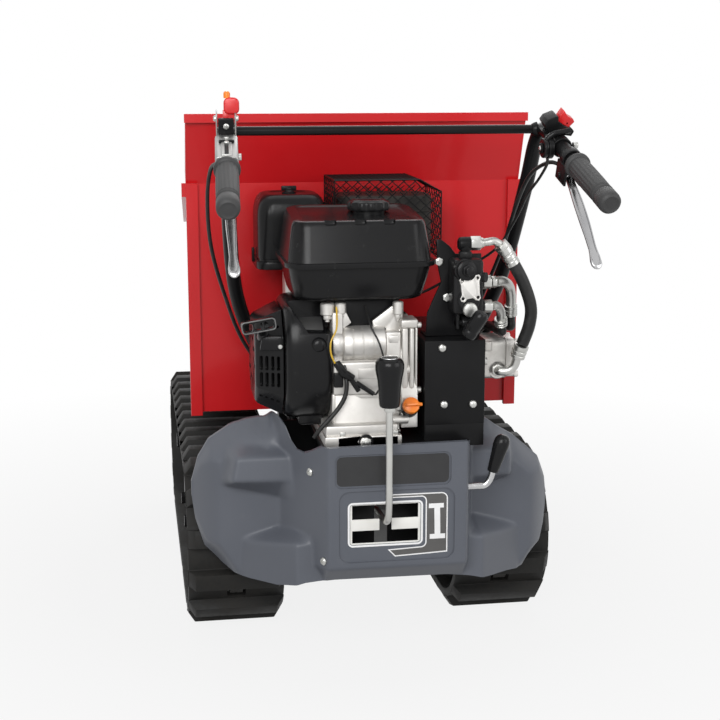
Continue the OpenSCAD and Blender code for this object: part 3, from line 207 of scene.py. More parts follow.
def red_enamel():
    paint = Paint("red_enamel", Coat_Weight=0.16, Coat_Roughness=0.12, Specular_IOR_Level=0.3)
    wide = paint.noise(2.6, 3.0)
    peel = paint.noise(210.0, 2.0)
    speck = paint.band(paint.noise(900.0, 1.0), 0.70, 0.76)
    tone = paint.mix(paint.band(wide, 0.3, 0.7), (0.465, 0.0075, 0.0105), (0.555, 0.0105, 0.0140))
    paint.feed("Base Color", paint.mix(speck * 0.25, tone, (0.40, 0.006, 0.008)))
    paint.feed("Roughness", paint.band(wide * 0.5 + peel * 0.5, 0.3, 0.7, 0.26, 0.40))
    paint.relief((wide, 0.10, 0.004), (peel, 0.10, 0.0003))
    return paint


def track_rubber():
    paint = Paint("track_rubber", Specular_IOR_Level=0.25)
    soil = paint.noise(9.0, 6.0, 0.65)
    fine = paint.noise(140.0, 4.0)
    dust = paint.band(soil * 0.65 + fine * 0.35, 0.42, 0.72)
    paint.feed("Base Color", paint.mix(dust * 0.7, (0.0065, 0.0065, 0.0062), (0.030, 0.0275, 0.024)))
    paint.feed("Roughness", paint.band(dust, 0.0, 1.0, 0.58, 0.86))
    paint.relief((fine, 0.35, 0.0006), (soil, 0.2, 0.002))
    return paint


def grey_mould():
    paint = Paint("grey_mould", Specular_IOR_Level=0.35)
    wide = paint.noise(5.0, 3.0)
    grain = paint.cells(900.0)
    dust = paint.band(paint.noise(38.0, 5.0, 0.7), 0.60, 0.80)
    tone = paint.mix(paint.band(wide, 0.3, 0.7), (0.082, 0.089, 0.106), (0.094, 0.101, 0.119))
    paint.feed("Base Color", paint.mix(dust * 0.25, tone, (0.130, 0.135, 0.148)))
    paint.feed("Roughness", paint.band(wide * 0.5 + dust * 0.5, 0.1, 0.6, 0.40, 0.52))
    paint.relief((grain, 0.12, 0.00025), (wide, 0.04, 0.002))
    return paint


def black_plastic():
    paint = Paint("black_plastic", Specular_IOR_Level=0.17)
    wide = paint.noise(7.0, 3.0)
    grain = paint.cells(700.0)
    dust = paint.band(paint.noise(60.0, 5.0, 0.7), 0.60, 0.82)
    paint.feed("Base Color", paint.mix(dust * 0.4, (0.0085, 0.0085, 0.0090), (0.026, 0.026, 0.026)))
    paint.feed("Roughness", paint.band(wide * 0.6 + dust * 0.4, 0.1, 0.6, 0.19, 0.30))
    paint.relief((grain, 0.18, 0.0003))
    return paint


def cast_alloy():
    paint = Paint("cast_alloy", Metallic=0.85)
    wide = paint.noise(14.0, 4.0)
    sand = paint.noise(420.0, 4.0, 0.7)
    stain = paint.band(paint.noise(30.0, 5.0, 0.65), 0.55, 0.80)
    tone = paint.mix(paint.band(wide, 0.3, 0.7), (0.50, 0.485, 0.46), (0.66, 0.645, 0.62))
    paint.feed("Base Color", paint.mix(stain * 0.35, tone, (0.30, 0.28, 0.25)))
    paint.feed("Roughness", paint.band(sand * 0.5 + stain * 0.5, 0.1, 0.7, 0.40, 0.60))
    paint.relief((sand, 0.30, 0.0004), (wide, 0.06, 0.001))
    return paint


def brushed(name, light, dark, rough, spread):
    """Bare metal with faint drawing lines in its gloss."""
    paint = Paint(name, Metallic=1.0)
    lines = paint.noise(60.0, 3.0, 0.5, (1.0, 1.0, 5.0))
    drift = paint.noise(12.0, 3.0)
    paint.feed("Base Color", paint.mix(paint.band(drift, 0.3, 0.7), dark, light))
    paint.feed("Roughness", paint.band(lines * 0.5 + drift * 0.5, 0.3, 0.7, rough - spread / 2, rough + spread / 2))
    return paint


def hose_rubber():
    paint = Paint("hose_rubber", Specular_IOR_Level=0.28)
    weave = paint.node("ShaderNodeTexWave", {"wave_type": "BANDS", "bands_direction": "DIAGONAL"},
                       {"Vector": paint.place, "Scale": 190.0, "Distortion": 1.5, "Detail": 1.0}, out="Fac")
    dust = paint.band(paint.noise(45.0, 5.0), 0.5, 0.8)
    paint.feed("Base Color", paint.mix(dust, (0.011, 0.011, 0.011), (0.030, 0.029, 0.028)))
    paint.feed("Roughness", paint.band(dust, 0.0, 1.0, 0.42, 0.62))
    paint.relief((weave, 0.12, 0.0003))
    return paint


def burnt_steel():
    paint = Paint("burnt_steel", Metallic=0.7)
    heat = paint.noise(11.0, 5.0, 0.6)
    scale = paint.noise(160.0, 4.0)
    tone = paint.mix(paint.band(heat, 0.35, 0.65), (0.016, 0.015, 0.014), (0.040, 0.037, 0.033))
    paint.feed("Base Color", tone)
    paint.feed("Roughness", paint.band(scale * 0.5 + heat * 0.5, 0.3, 0.7, 0.42, 0.68))
    paint.relief((scale, 0.25, 0.0004))
    return paint


RED = red_enamel()
RUBBER = track_rubber()
GREY = grey_mould()
PLASTIC = black_plastic()
ALLOY = cast_alloy()
HOSE = hose_rubber()
BURNT = burnt_steel()
# Light and dark tone, roughness and its spread, scale of the patches and of the grain, depth and strength of the grain.
BLACK = painted("black_frame", (0.0085, 0.0085, 0.0090), (0.0055, 0.0055, 0.0058),
                0.32, 0.12, 8.0, 480.0, 0.0002, 0.14, Specular_IOR_Level=0.13)
WHEEL = painted("wheel_steel", (0.060, 0.058, 0.055), (0.030, 0.029, 0.028),
                0.52, 0.16, 16.0, 180.0, 0.0004, 0.3, Metallic=0.6)
IRON = painted("grey_iron", (0.160, 0.160, 0.158), (0.100, 0.100, 0.100),
               0.48, 0.16, 14.0, 240.0, 0.0004, 0.25, Metallic=0.7)
VALVE = painted("valve_black", (0.014, 0.014, 0.015), (0.008, 0.008, 0.008),
                0.32, 0.12, 16.0, 300.0, 0.0003, 0.2, Specular_IOR_Level=0.16)
GATE = painted("white_gate", (0.78, 0.77, 0.74), (0.70, 0.69, 0.65), 0.38, 0.10, 20.0, 400.0, 0.0001, 0.1)
GRIP = painted("soft_grip", (0.026, 0.026, 0.027), (0.016, 0.016, 0.016), 0.60, 0.12, 30.0, 700.0, 0.0004, 0.35)
RED_PLASTIC = painted("red_plastic", (0.62, 0.014, 0.016), (0.50, 0.008, 0.010), 0.34, 0.10, 40.0, 500.0, 0.0002, 0.1)
ORANGE = painted("orange_plastic", (0.86, 0.23, 0.012), (0.74, 0.17, 0.008), 0.36, 0.10, 40.0, 500.0, 0.0002, 0.1)
YELLOW = painted("yellow_sleeve", (0.62, 0.40, 0.03), (0.50, 0.30, 0.02), 0.45, 0.10, 60.0, 500.0, 0.0002, 0.1)
MARK = painted("white_marking", (0.80, 0.80, 0.80), (0.72, 0.72, 0.72), 0.45, 0.08, 30.0, 500.0, 0.0001, 0.05)
FIELD_GREY = painted("marking_field", (0.085, 0.082, 0.080), (0.070, 0.068, 0.066),
                     0.40, 0.08, 30.0, 500.0, 0.0001, 0.05)
STRIP = painted("strip_plate", (0.015, 0.015, 0.016), (0.011, 0.011, 0.012), 0.42, 0.10, 30.0, 500.0, 0.0001, 0.05)
# Light and dark tone, roughness and its spread.
ZINC = brushed("bright_steel", (0.56, 0.56, 0.54), (0.44, 0.44, 0.42), 0.36, 0.10)
SATIN = brushed("satin_steel", (0.40, 0.40, 0.39), (0.31, 0.31, 0.30), 0.44, 0.10)
POLISHED = brushed("polished_alloy", (0.56, 0.56, 0.56), (0.40, 0.40, 0.41), 0.22, 0.10)
CHROME = brushed("chrome_steel", (0.74, 0.74, 0.74), (0.62, 0.62, 0.63), 0.20, 0.08)
# Each finish's slot attribute holds its own name, apart from these.
for finish, slot_name in ((RED, "red_sheet"), (IRON, "bright_steel"), (VALVE, "black_frame"),
                          (YELLOW, "orange_plastic"), (MARK, "white_gate"), (FIELD_GREY, "grey_mould"),
                          (STRIP, "grey_mould"), (SATIN, "bright_steel"), (POLISHED, "chrome_steel")):
    finish.slot = slot_name


# ---------------------------------------------------------------- shaping

# Points closer than this, in metres, are one point, and across the hairlines of a track.
MERGE, TRACK_MERGE = 1e-6, 0.00016


def rest_hands():
    """Leaves edit mode with nothing selected."""
    if bpy.context.object and bpy.context.object.mode != "OBJECT":
        bpy.ops.object.mode_set(mode="OBJECT")
    bpy.ops.object.select_all(action="DESELECT")


def dress(obj, paint):
    """Gives an object one finish."""
    obj.data.materials.clear()
    obj.data.materials.append(paint.material)


class Shape:
    """A piece in the making: a primitive or an outline that edit operators shape."""

    def __init__(self, obj):
        self.o = obj

    def hold(self):
        """Makes the piece the one that operators work on."""
        rest_hands()
        self.o.select_set(True)
        bpy.context.view_layer.objects.active = self.o
        return self

    # Starts

    @classmethod
    def linked(cls, obj):
        """A new object, put into the scene and held."""
        bpy.context.scene.collection.objects.link(obj)
        return cls(obj).hold()

    @classmethod
    def added(cls, name, operator, **size):
        rest_hands()
        operator(**size)
        made = cls(bpy.context.object)
        made.o.name = name
        bpy.ops.object.transform_apply(location=True, rotation=True, scale=True)
        return made

    @classmethod
    def box(cls, name, lo, hi, edge=0, segments=2):
        """A box between two corners, its edges rounded by a width."""
        a, b = at(*lo), at(*hi)
        made = cls.added(name, bpy.ops.mesh.primitive_cube_add, size=1.0, location=(a + b) / 2, scale=b - a)
        return made.soft(edge, segments) if edge else made

    @classmethod
    def rod(cls, name, a, b, r, r2=None, sides=48):
        """A rod or cone from a to b."""
        a, b = at(*a), at(*b)
        upright = (b - a).to_track_quat("Z", "Y").to_euler()
        return cls.added(name, bpy.ops.mesh.primitive_cone_add, vertices=sides, radius1=r / 1000,
                         radius2=(r if r2 is None else r2) / 1000, depth=(b - a).length,
                         location=(a + b) / 2, rotation=upright)

    @classmethod
    def mesh(cls, name, points, faces, edges=()):
        data = bpy.data.meshes.new(name)
        data.from_pydata([tuple(p) for p in points], list(edges), list(faces))
        return cls.linked(bpy.data.objects.new(name, data))

    @classmethod
    def plate(cls, name, outline, shift):
        """An outline of drawing points, extruded by a shift in millimetres."""
        made = cls.mesh(name, lay(outline), [tuple(range(len(outline)))]).edit()
        bpy.ops.mesh.extrude_region_move(TRANSFORM_OT_translate={"value": Vector(shift) * 0.001})
        return made.outward()

    @classmethod
    def facing(cls, name, outline, y, depth):
        """A plate that faces the operator: an outline of X and height at y, extruded along Y."""
        return cls.plate(name, [(x, y, z) for x, z in outline], (0, depth, 0))

    @classmethod
    def loft(cls, name, rings):
        """A closed skin over rings of drawing points, with the same count in each."""
        n = len(rings[0])
        points = [at(*p) for ring in rings for p in ring]
        faces = [(k * n + i, k * n + (i + 1) % n, (k + 1) * n + (i + 1) % n, (k + 1) * n + i)
                 for k in range(len(rings) - 1) for i in range(n)]
        faces += [tuple(range(n)), tuple(range((len(rings) - 1) * n, len(rings) * n))]
        return cls.mesh(name, points, faces).outward()

    @classmethod
    def turned(cls, name, base, axis, profile, sides=64):
        """A profile of radius and height pairs, spun round an axis from base."""
        base, axis = at(*base), Vector(axis).normalized()
        side = axis.orthogonal().normalized()
        points = [base + side * r * 0.001 + axis * h * 0.001 for r, h in profile]
        made = cls.mesh(name, points, [], [(i, i + 1) for i in range(len(points) - 1)]).edit()
        bpy.ops.mesh.spin(steps=sides, angle=2 * math.pi, center=base, axis=axis)
        return made.outward()

    @classmethod
    def tube(cls, name, points, r, sides=16, steps=8):
        """A round tube through drawing points, bent smoothly where steps are given."""
        run = lay(smooth_run(points, steps)) if steps else lay(points)
        line = bpy.data.curves.new(name, "CURVE")
        line.dimensions = "3D"
        line.bevel_depth = r / 1000
        line.bevel_resolution = max(sides // 4 - 1, 1)
        line.use_fill_caps = True
        spline = line.splines.new("POLY")
        spline.points.add(len(run) - 1)
        for point, p in zip(spline.points, run):
            point.co = (*p, 1.0)
        cls.linked(bpy.data.objects.new(name, line))
        bpy.ops.object.convert(target="MESH")
        made = cls(bpy.context.object)
        made.o.name = name
        return made.outward()

    @classmethod
    def of_node(cls, node, name=None):
        """A copy of a solid's mesh, merged and cleared of the cuts across its flat faces."""
        obj = nodes[node].copy()
        obj.data = nodes[node].data.copy()
        obj.parent = None
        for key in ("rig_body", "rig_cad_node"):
            if key in obj:
                del obj[key]
        obj.name = name or node + "_form"
        made = cls.linked(obj).edit()
        bpy.ops.mesh.customdata_custom_splitnormals_clear()
        bpy.ops.mesh.remove_doubles(threshold=MERGE)
        bpy.ops.mesh.dissolve_limited(angle_limit=math.radians(0.6))
        rest_hands()
        return made

    # Work on the mesh

    def edit(self):
        self.hold()
        bpy.ops.object.mode_set(mode="EDIT")
        bpy.ops.mesh.select_all(action="SELECT")
        return self

    def outward(self):
        self.edit()
        bpy.ops.mesh.remove_doubles(threshold=MERGE)
        bpy.ops.mesh.normals_make_consistent(inside=False)
        rest_hands()
        return self

    def pick(self, test):
        """Selects the faces whose middle and normal pass a test, in drawing millimetres."""
        self.edit()
        bpy.ops.mesh.select_all(action="DESELECT")
        bpy.ops.mesh.select_mode(type="FACE")
        bpy.ops.object.mode_set(mode="OBJECT")
        for face in self.o.data.polygons:
            middle = Vector(face.center) * 1000 + Vector((0, BACK_WALL, 0))
            face.select = bool(test(middle, face.normal))
        bpy.ops.object.mode_set(mode="EDIT")
        return self

    def inset(self, width, depth=0.0):
        bpy.ops.mesh.inset(thickness=width / 1000, depth=depth / 1000, use_even_offset=True)
        return self

    def applied(self, kind, **settings):
        """Adds a modifier and applies it."""
        self.hold()
        modifier = self.o.modifiers.new(kind.title(), kind)
        for key, value in settings.items():
            setattr(modifier, key, value)
        bpy.ops.object.modifier_apply(modifier=modifier.name)
        return self

    def soft(self, width, segments=2, angle=35.0, clamp=True):
        """Rounds every edge sharper than an angle."""
        return self.applied("BEVEL", width=width / 1000, segments=segments, limit_method="ANGLE",
                            angle_limit=math.radians(angle), use_clamp_overlap=clamp, harden_normals=False)

    def cut(self, *tools):
        for tool in tools:
            self.applied("BOOLEAN", operation="DIFFERENCE", object=tool.o, solver="EXACT")
            bpy.data.objects.remove(tool.o, do_unlink=True)
        return self

    def join(self, *others):
        self.hold()
        for other in others:
            other.o.select_set(True)
        bpy.ops.object.join()
        return self

    def moved(self, matrix):
        self.o.data.transform(matrix)
        if matrix.determinant() < 0:
            self.o.data.flip_normals()
        return self

    def copied(self, name, matrix):
        obj = self.o.copy()
        obj.data = self.o.data.copy()
        obj.name = name
        return Shape.linked(obj).moved(matrix)

    def fit(self, body, paint, stands_for=(), angle=32.0, slot=None):
        """Finishes the piece: smooth shading, finish, the body that carries it and the solids it stands for."""
        self.hold()
        bpy.ops.object.shade_smooth_by_angle(angle=math.radians(angle))
        dress(self.o, paint)
        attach(self.o, body)
        if stands_for:
            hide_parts(*stands_for)


def row_matrix(matrix):
    """A matrix in drawing millimetres as one in scene metres."""
    to_scene = Matrix.Scale(0.001, 4) @ Matrix.Translation((0, -BACK_WALL, 0))
    return to_scene @ matrix @ to_scene.inverted()


MIRROR = Matrix.Scale(-1, 4, (1, 0, 0))


def turn(degrees, axis):
    """A rotation matrix about an axis."""
    return Matrix.Rotation(math.radians(degrees), 4, axis)


def seat(shape, matrix):
    """Moves a shape that was drawn at the drawing's origin."""
    return shape.moved(row_matrix(matrix))


def wear(paint, *names):
    """Gives solids that stay as they are their finish."""
    for name in names:
        dress(nodes[name], paint)


def bored(name, a, b, r, bore, edge, sides=48, bore_sides=48, segments=2):
    """A rod with rounded ends and a hole along its axis."""
    a, b = Vector(a), Vector(b)
    past = (b - a) * 0.25
    made = Shape.rod(name, a, b, r, sides=sides).soft(edge, segments)
    return made.cut(Shape.rod("bore", a - past, b + past, bore, sides=bore_sides))


def whole_track(node):
    """A track's mesh with the hairline between its lengths closed."""
    made = Shape.of_node(node).edit()
    bpy.ops.mesh.remove_doubles(threshold=TRACK_MERGE)
    bpy.ops.mesh.select_all(action="DESELECT")
    bpy.ops.mesh.select_mode(type="FACE")
    bpy.ops.mesh.select_interior_faces()
    bpy.ops.mesh.delete(type="FACE")
    return made.outward()


# ---------------------------------------------------------------- camera, light and floor

YAW, PITCH = math.radians(9.2), math.radians(11.7)
AIM, CAMERA_RANGE = at(10, 0, 487), 2.790
look = Vector((math.sin(YAW) * math.cos(PITCH), math.cos(YAW) * math.cos(PITCH), -math.sin(PITCH)))
right = Vector((math.cos(YAW), -math.sin(YAW), 0.0))
facing_camera = Matrix((right, right.cross(look), -look)).transposed().to_4x4()
scene = bpy.context.scene
camera = bpy.data.objects.new("camera", bpy.data.cameras.new("camera"))
camera.data.lens = 71.0
camera.data.sensor_width = 36.0
camera.matrix_world = Matrix.Translation(AIM - CAMERA_RANGE * look) @ facing_camera
scene.collection.objects.link(camera)
scene.camera = camera
scene.view_settings.view_transform = "Standard"


def lamp(name, place, target, size, power):
    """A rectangular area light that faces its target."""
    data = bpy.data.lights.new(name, "AREA")
    data.shape = "RECTANGLE"
    data.size, data.size_y = size
    data.energy = power
    obj = bpy.data.objects.new(name, data)
    obj.location = place
    obj.rotation_euler = (Vector(target) - Vector(place)).to_track_quat("-Z", "Y").to_euler()
    scene.collection.objects.link(obj)


lamp("key_light", (-1.2, -3.4, 2.1), (0, -0.2, 0.5), (2.2, 1.6), 98)
lamp("fill_light", (2.4, -2.4, 1.7), (0, -0.2, 0.5), (1.8, 1.8), 28)
lamp("top_light", (0.0, 0.4, 3.2), (0, 0.0, 0.5), (2.6, 2.6), 20)
lamp("far_light", (0.6, 3.2, 2.2), (0, 0.2, 0.5), (2.4, 1.6), 34)


def background_rays(tree):
    """Output that is 1 for the rays that show the background: to the camera, mirrored or through a clear piece."""
    path = wired(tree, "ShaderNodeLightPath").outputs
    total = path["Is Camera Ray"]
    for ray in ("Is Glossy Ray", "Is Transmission Ray"):
        total = wired(tree, "ShaderNodeMath", {"operation": "MAXIMUM"}, {0: total, 1: path[ray]}).outputs[0]
    return total


scene.world = bpy.data.worlds.new("studio")
scene.world.use_nodes = True
sky = scene.world.node_tree
glow = wired(sky, "ShaderNodeMapRange", None, {"Value": background_rays(sky), "To Min": 0.5, "To Max": 1.0})
sky.nodes["Background"].inputs["Color"].default_value = (1, 1, 1, 1)
sky.links.new(glow.outputs[0], sky.nodes["Background"].inputs["Strength"])

# The floor shows its shading and the shadow near the machine and runs out into the white background.
floor = Shape.added("studio_floor", bpy.ops.mesh.primitive_plane_add, size=24.0, location=(0, 0, -0.0005))
stone = bpy.data.materials.new("studio_floor")
stone.use_nodes = True
tree = stone.node_tree
tree.nodes.remove(tree.nodes["Principled BSDF"])
matt = wired(tree, "ShaderNodeBsdfDiffuse", None, {"Color": (0.34, 0.34, 0.34, 1)})
bright = wired(tree, "ShaderNodeEmission", None, {"Strength": 1.0})
place = wired(tree, "ShaderNodeTexCoord").outputs["Object"]
away = wired(tree, "ShaderNodeVectorMath", {"operation": "LENGTH"}, {0: place}).outputs["Value"]
fade = wired(tree, "ShaderNodeMapRange", None, {
    "Value": away, "From Min": 0.55, "From Max": 1.9, "To Min": 0.86, "To Max": 1.0}).outputs[0]
part = wired(tree, "ShaderNodeMath", {"operation": "MULTIPLY"}, {0: background_rays(tree), 1: fade}).outputs[0]
share = wired(tree, "ShaderNodeMixShader", None, {0: part, 1: matt.outputs[0], 2: bright.outputs[0]})
tree.links.new(share.outputs[0], tree.nodes["Material Output"].inputs["Surface"])
floor.o.data.materials.append(stone)


# ---------------------------------------------------------------- moulded rear panel

# Lower and upper edge of the panel seen from behind, as X and height.
PANEL_LOW = ((-334, 298), (-329, 258), (-313, 206), (-284, 178), (-262, 168), (-239, 167), (-196, 169), (-150, 181),
             (-98, 186), (0, 185), (98, 184), (143, 178), (185, 168), (225, 160), (250, 153), (269, 150), (290, 158),
             (308, 175), (319, 210), (323.5, 250))
PANEL_TOP = ((-334, 324), (-322, 370), (-302, 404), (-266, 430), (-237, 441), (-206, 447), (-194, 455), (-184, 458),
             (-176, 446), (-168, 424), (-158, 409), (-146, 407), (-136, 414), (-122, 427), (127, 430), (134, 418),
             (168, 420), (186, 430), (200, 426), (216, 414), (254, 390), (304, 346), (319, 306), (323.5, 272))
# Depth of the plain panel across its width.
PANEL_PLAN = ((-334, -282), (-272, -298), (-184, -314), (-114, -428), (128, -428), (158, -318), (262, -298),
              (323.5, -280))
# How far from a wing's edge the face starts to roll over, and how deep it drops at the edge.
EDGE_WIDTH, EDGE_DROP = 44, 50
# Upper block of each wing: side, outer and inner end, foot of its underside, lower and upper edge of its front.
UPPER_BLOCKS = ((-1, 278, 186, 333, 351, 393), (1, 233, 150, 330, 344, 390))
BLOCK_FRONT, BLOCK_LEAN = -347, 5
# The lower blocks start here and have grown to their full depth 90 mm nearer to the console.
WEDGE_END, WEDGE_RUN = 254, 90


def along(table, x):
    """The value at x of a table of pairs, straight between them."""
    return np.interp(x, [p[0] for p in table], [p[1] for p in table])


def ramp(x, start, stop):
    """A smooth step from 0 at start to 1 at stop."""
    t = np.clip((x - start) / (stop - start), 0, 1)
    return t * t * (3 - 2 * t)


def panel_depth(x, z):
    """Depth of the panel's outer face, before its creases are softened."""
    face = along(PANEL_PLAN, x)
    # The foot of the console leans inwards.
    face = np.where(np.abs(x) < 140, np.minimum(face + np.maximum(0, 213 - z), -318), face)
    # The edges of the wings roll over.
    from_low = z - along(PANEL_LOW, x) + EDGE_WIDTH * (1 - ramp(np.abs(x), 240, 296))
    from_ends = np.minimum(x + 334, 324 - x) * 0.9
    edge = np.minimum(from_ends, np.minimum(along(PANEL_TOP, x) - z, from_low))
    drop = np.where((x < -186) | (x > 166), EDGE_DROP, 0)
    face = face + drop * np.maximum(0, 1 - np.maximum(edge, 0) / EDGE_WIDTH) ** 1.6
    out = face
    for side, reach, inner, under, front_low, front_top in UPPER_BLOCKS:
        u = side * x
        # The upper block has an undercut, a front and a top that slopes back.
        lean = np.where(side < 0, 0.2 * (z - 348), 0.0)
        fade = np.clip((z - front_top) * 3, 0, 44)
        over = ramp(-u, -(reach + 7) + lean, -(reach - 11) + lean + fade)
        foot = under - 21 * np.clip((reach - u) / (reach - inner), 0, 1)
        rise = np.clip((z - foot) / (front_low - foot), 0, 1)
        front = BLOCK_FRONT + (z - front_low) / (front_top - front_low) * BLOCK_LEAN
        block = np.minimum(np.where(z < front_low, face + (BLOCK_FRONT - face) * rise, front), face)
        slope = BLOCK_FRONT + BLOCK_LEAN + (z - front_top) * 3.3
        block = np.where(z > front_top, np.where(u > inner, slope, np.minimum(slope, face)), block)
        out = np.where(u > 140, out + (block - out) * over, out)
        # The lower block is a wedge that grows out of the wing towards the console.
        grown = np.clip((WEDGE_END - u) / WEDGE_RUN, 0, 1)
        crest = 228 + 22 * grown
        back = crest + 8 + 6 * grown
        rise = np.clip((back - z) / (back - crest), 0, 1)
        wedge = face + (np.minimum(-298 - 94 * grown - 0.06 * (crest - z), face) - face) * rise
        out = np.where((u > 110) & (u < WEDGE_END), np.minimum(out, wedge), out)
    # The strip beside the shroud stands out from the wing.
    neck = ramp(x, -214, -196) * np.where(x < -160, 1.0, 0.0) * ramp(z, 392, 402)
    return out + (np.minimum(out, -326 + (z - 393) * 0.85) - out) * neck


def softened(grid, sigma):
    """A grid of depths with its creases rounded."""
    reach = int(3 * sigma) + 1
    kernel = np.exp(-0.5 * (np.arange(-reach, reach + 1) / sigma) ** 2)
    kernel /= kernel.sum()
    for axis in (0, 1):
        padded = np.pad(grid, [(reach, reach) if k == axis else (0, 0) for k in (0, 1)], mode="edge")
        grid = np.apply_along_axis(lambda row: np.convolve(row, kernel, mode="valid"), axis, padded)
    return grid


def rear_panel():
    """A grid laid on the panel's depth, with a rim round its edge and the thickness of the moulding."""
    # Spacing of the grid of depths in millimetres, rounding of its creases in steps, and rows of faces.
    step, crease, rows = 1.5, 1.7, 110
    # Depth of the rim and thickness of the moulding in metres.
    rim, wall = 0.010, 0.0035
    xs = np.arange(-345, 330, step)
    zs = np.arange(150, 465, step)
    depth = softened(panel_depth(*np.meshgrid(xs, zs, indexing="ij")), crease)
    columns = np.concatenate([np.arange(-334, -186, 2.6), np.arange(-186, -104, 1.6), np.arange(-104, 120, 5.0),
                              np.arange(120, 166, 1.6), np.arange(166, 323, 2.6), [323.5]])
    panel = Shape.added("rear_panel", bpy.ops.mesh.primitive_grid_add, x_subdivisions=len(columns) - 1,
                        y_subdivisions=rows, size=1.0)
    for vert in panel.o.data.vertices:
        x = columns[round((vert.co.x + 0.5) * (len(columns) - 1))]
        v = vert.co.y + 0.5
        z = along(PANEL_LOW, x) * (1 - v) + along(PANEL_TOP, x) * v
        fx, fz = (x - xs[0]) / step, (z - zs[0]) / step
        a, b = int(fx), int(fz)
        tx, tz = fx - a, fz - b
        y = ((depth[a, b] * (1 - tx) + depth[a + 1, b] * tx) * (1 - tz)
             + (depth[a, b + 1] * (1 - tx) + depth[a + 1, b + 1] * tx) * tz)
        vert.co = at(x, y, z)
    panel.edit()
    bpy.ops.mesh.select_all(action="DESELECT")
    bpy.ops.mesh.select_mode(type="EDGE")
    bpy.ops.mesh.select_non_manifold()
    bpy.ops.mesh.extrude_edges_move(TRANSFORM_OT_translate={"value": (0, rim, 0)})
    return panel.applied("SOLIDIFY", thickness=wall, offset=-1.0)


panel = rear_panel()
panel.cut(Shape.facing("strip_recess", round_rect(200, 58, 12, 6, (-2, 385)), -440, 14.6),
          Shape.facing("panel_recess", round_rect(200, 126, 18, 6, (5, 287)), -440, 14.6),
          Shape.box("gate_hole", (-76, -440, 255), (46, -400, 326), 5, 4),
          Shape.box("lever_slot", (120, -412, 296), (170, -386, 388)))
panel.fit("chassis", GREY, ("fairing",), 30)


# ---------------------------------------------------------------- gate, gear lever and marking

# Depth of the recessed face that carries the marking.
MARK_Y = -425.4


def unit(v):
    """The vector at length one."""
    return v / (np.linalg.norm(v) or 1)


def ribbon(name, loop, width, height=0.5):
    """A flat raised line of one width round a closed loop on the panel face."""
    pts = [np.array(p, float) for p in loop]
    n = len(pts)
    inner, outer = [], []
    for before, p, after in zip(pts[-1:] + pts, pts, pts[1:] + pts[:1]):
        a, b = unit(p - before), unit(after - p)
        bend = unit(a + b)
        normal = np.array([-bend[1], bend[0]])
        spread = width / 2 / max(0.5, abs(float(np.dot(normal, [-b[1], b[0]]))))
        inner.append(p + normal * spread)
        outer.append(p - normal * spread)
    points3 = [(p[0], y, p[1]) for y in (MARK_Y, MARK_Y - height) for p in inner + outer]
    faces = []
    for i in range(n):
        j = (i + 1) % n
        a, b, c, d = i, j, n + j, n + i
        faces += [(2 * n + a, 2 * n + b, 2 * n + c, 2 * n + d), (a, d, c, b),
                  (a, b, 2 * n + b, 2 * n + a), (d, 2 * n + d, 2 * n + c, c)]
    return Shape.mesh(name, lay(points3), faces).outward()


def corner(cx, cz, r, start, stop, steps=6):
    """Points of a rounded corner from one angle to another, in degrees."""
    angles = [math.radians(start + (stop - start) * i / steps) for i in range(steps + 1)]
    return [(cx + r * math.cos(a), cz + r * math.sin(a)) for a in angles]


gate_ring = round_rect(126.5, 75.5, 7, 6, (-15, 290.5))
outer_ring = ([(-12, 341)] + corner(82, 331, 10, 90, 0) + [(92, 236), (2, 232), (-9, 243.5)]
              + corner(47, 254.5, 8.5, -90, 0) + corner(47, 328, 8.5, 0, 90) + [(-12, 336.5)])
sign = [(60, 322.5), (86, 322.5), (86, 314.5), (79.5, 314.5), (80.5, 268), (89, 268), (89, 259.5), (62, 259.5),
        (62, 268), (70.5, 268), (69.5, 314.5), (60, 314.5)]
marking = ribbon("gate_marking", gate_ring, 3.2)
marking.join(ribbon("outer_line", outer_ring, 2.0))
marking.join(Shape.facing("sign", sign, MARK_Y - 0.25, -0.35)).fit("chassis", MARK)
tint = ([(-11, 340)] + corner(82, 331, 9, 90, 0) + [(91, 237), (2.6, 233), (-7, 243)]
        + corner(47, 254.5, 9.5, -90, 0) + corner(47, 328, 9.5, 0, 90) + [(-11, 337.5)])
Shape.facing("marking_field", tint, MARK_Y, -0.22).fit("chassis", FIELD_GREY)
Shape.facing("strip_plate", round_rect(193, 51, 9, 6, (-2, 385)), MARK_Y, -0.5).fit("chassis", STRIP)
# Black sheets of painted shade: they keep the bay behind the gate and under the shroud dark, where there is only
# shadow.
shade = Shape.box("gate_shade", (-92, -376, 240), (-26, -373, 340))
shade.join(Shape.box("shade_right", (-3, -376, 240), (60, -373, 340)),
           Shape.box("bay_shade_sheet", (-196, -218, 318), (-94, -215, 426))).fit("chassis", BLACK)
Shape.of_node("shift_gate").soft(0.5, clamp=False).fit("chassis", GATE, ("shift_gate",))

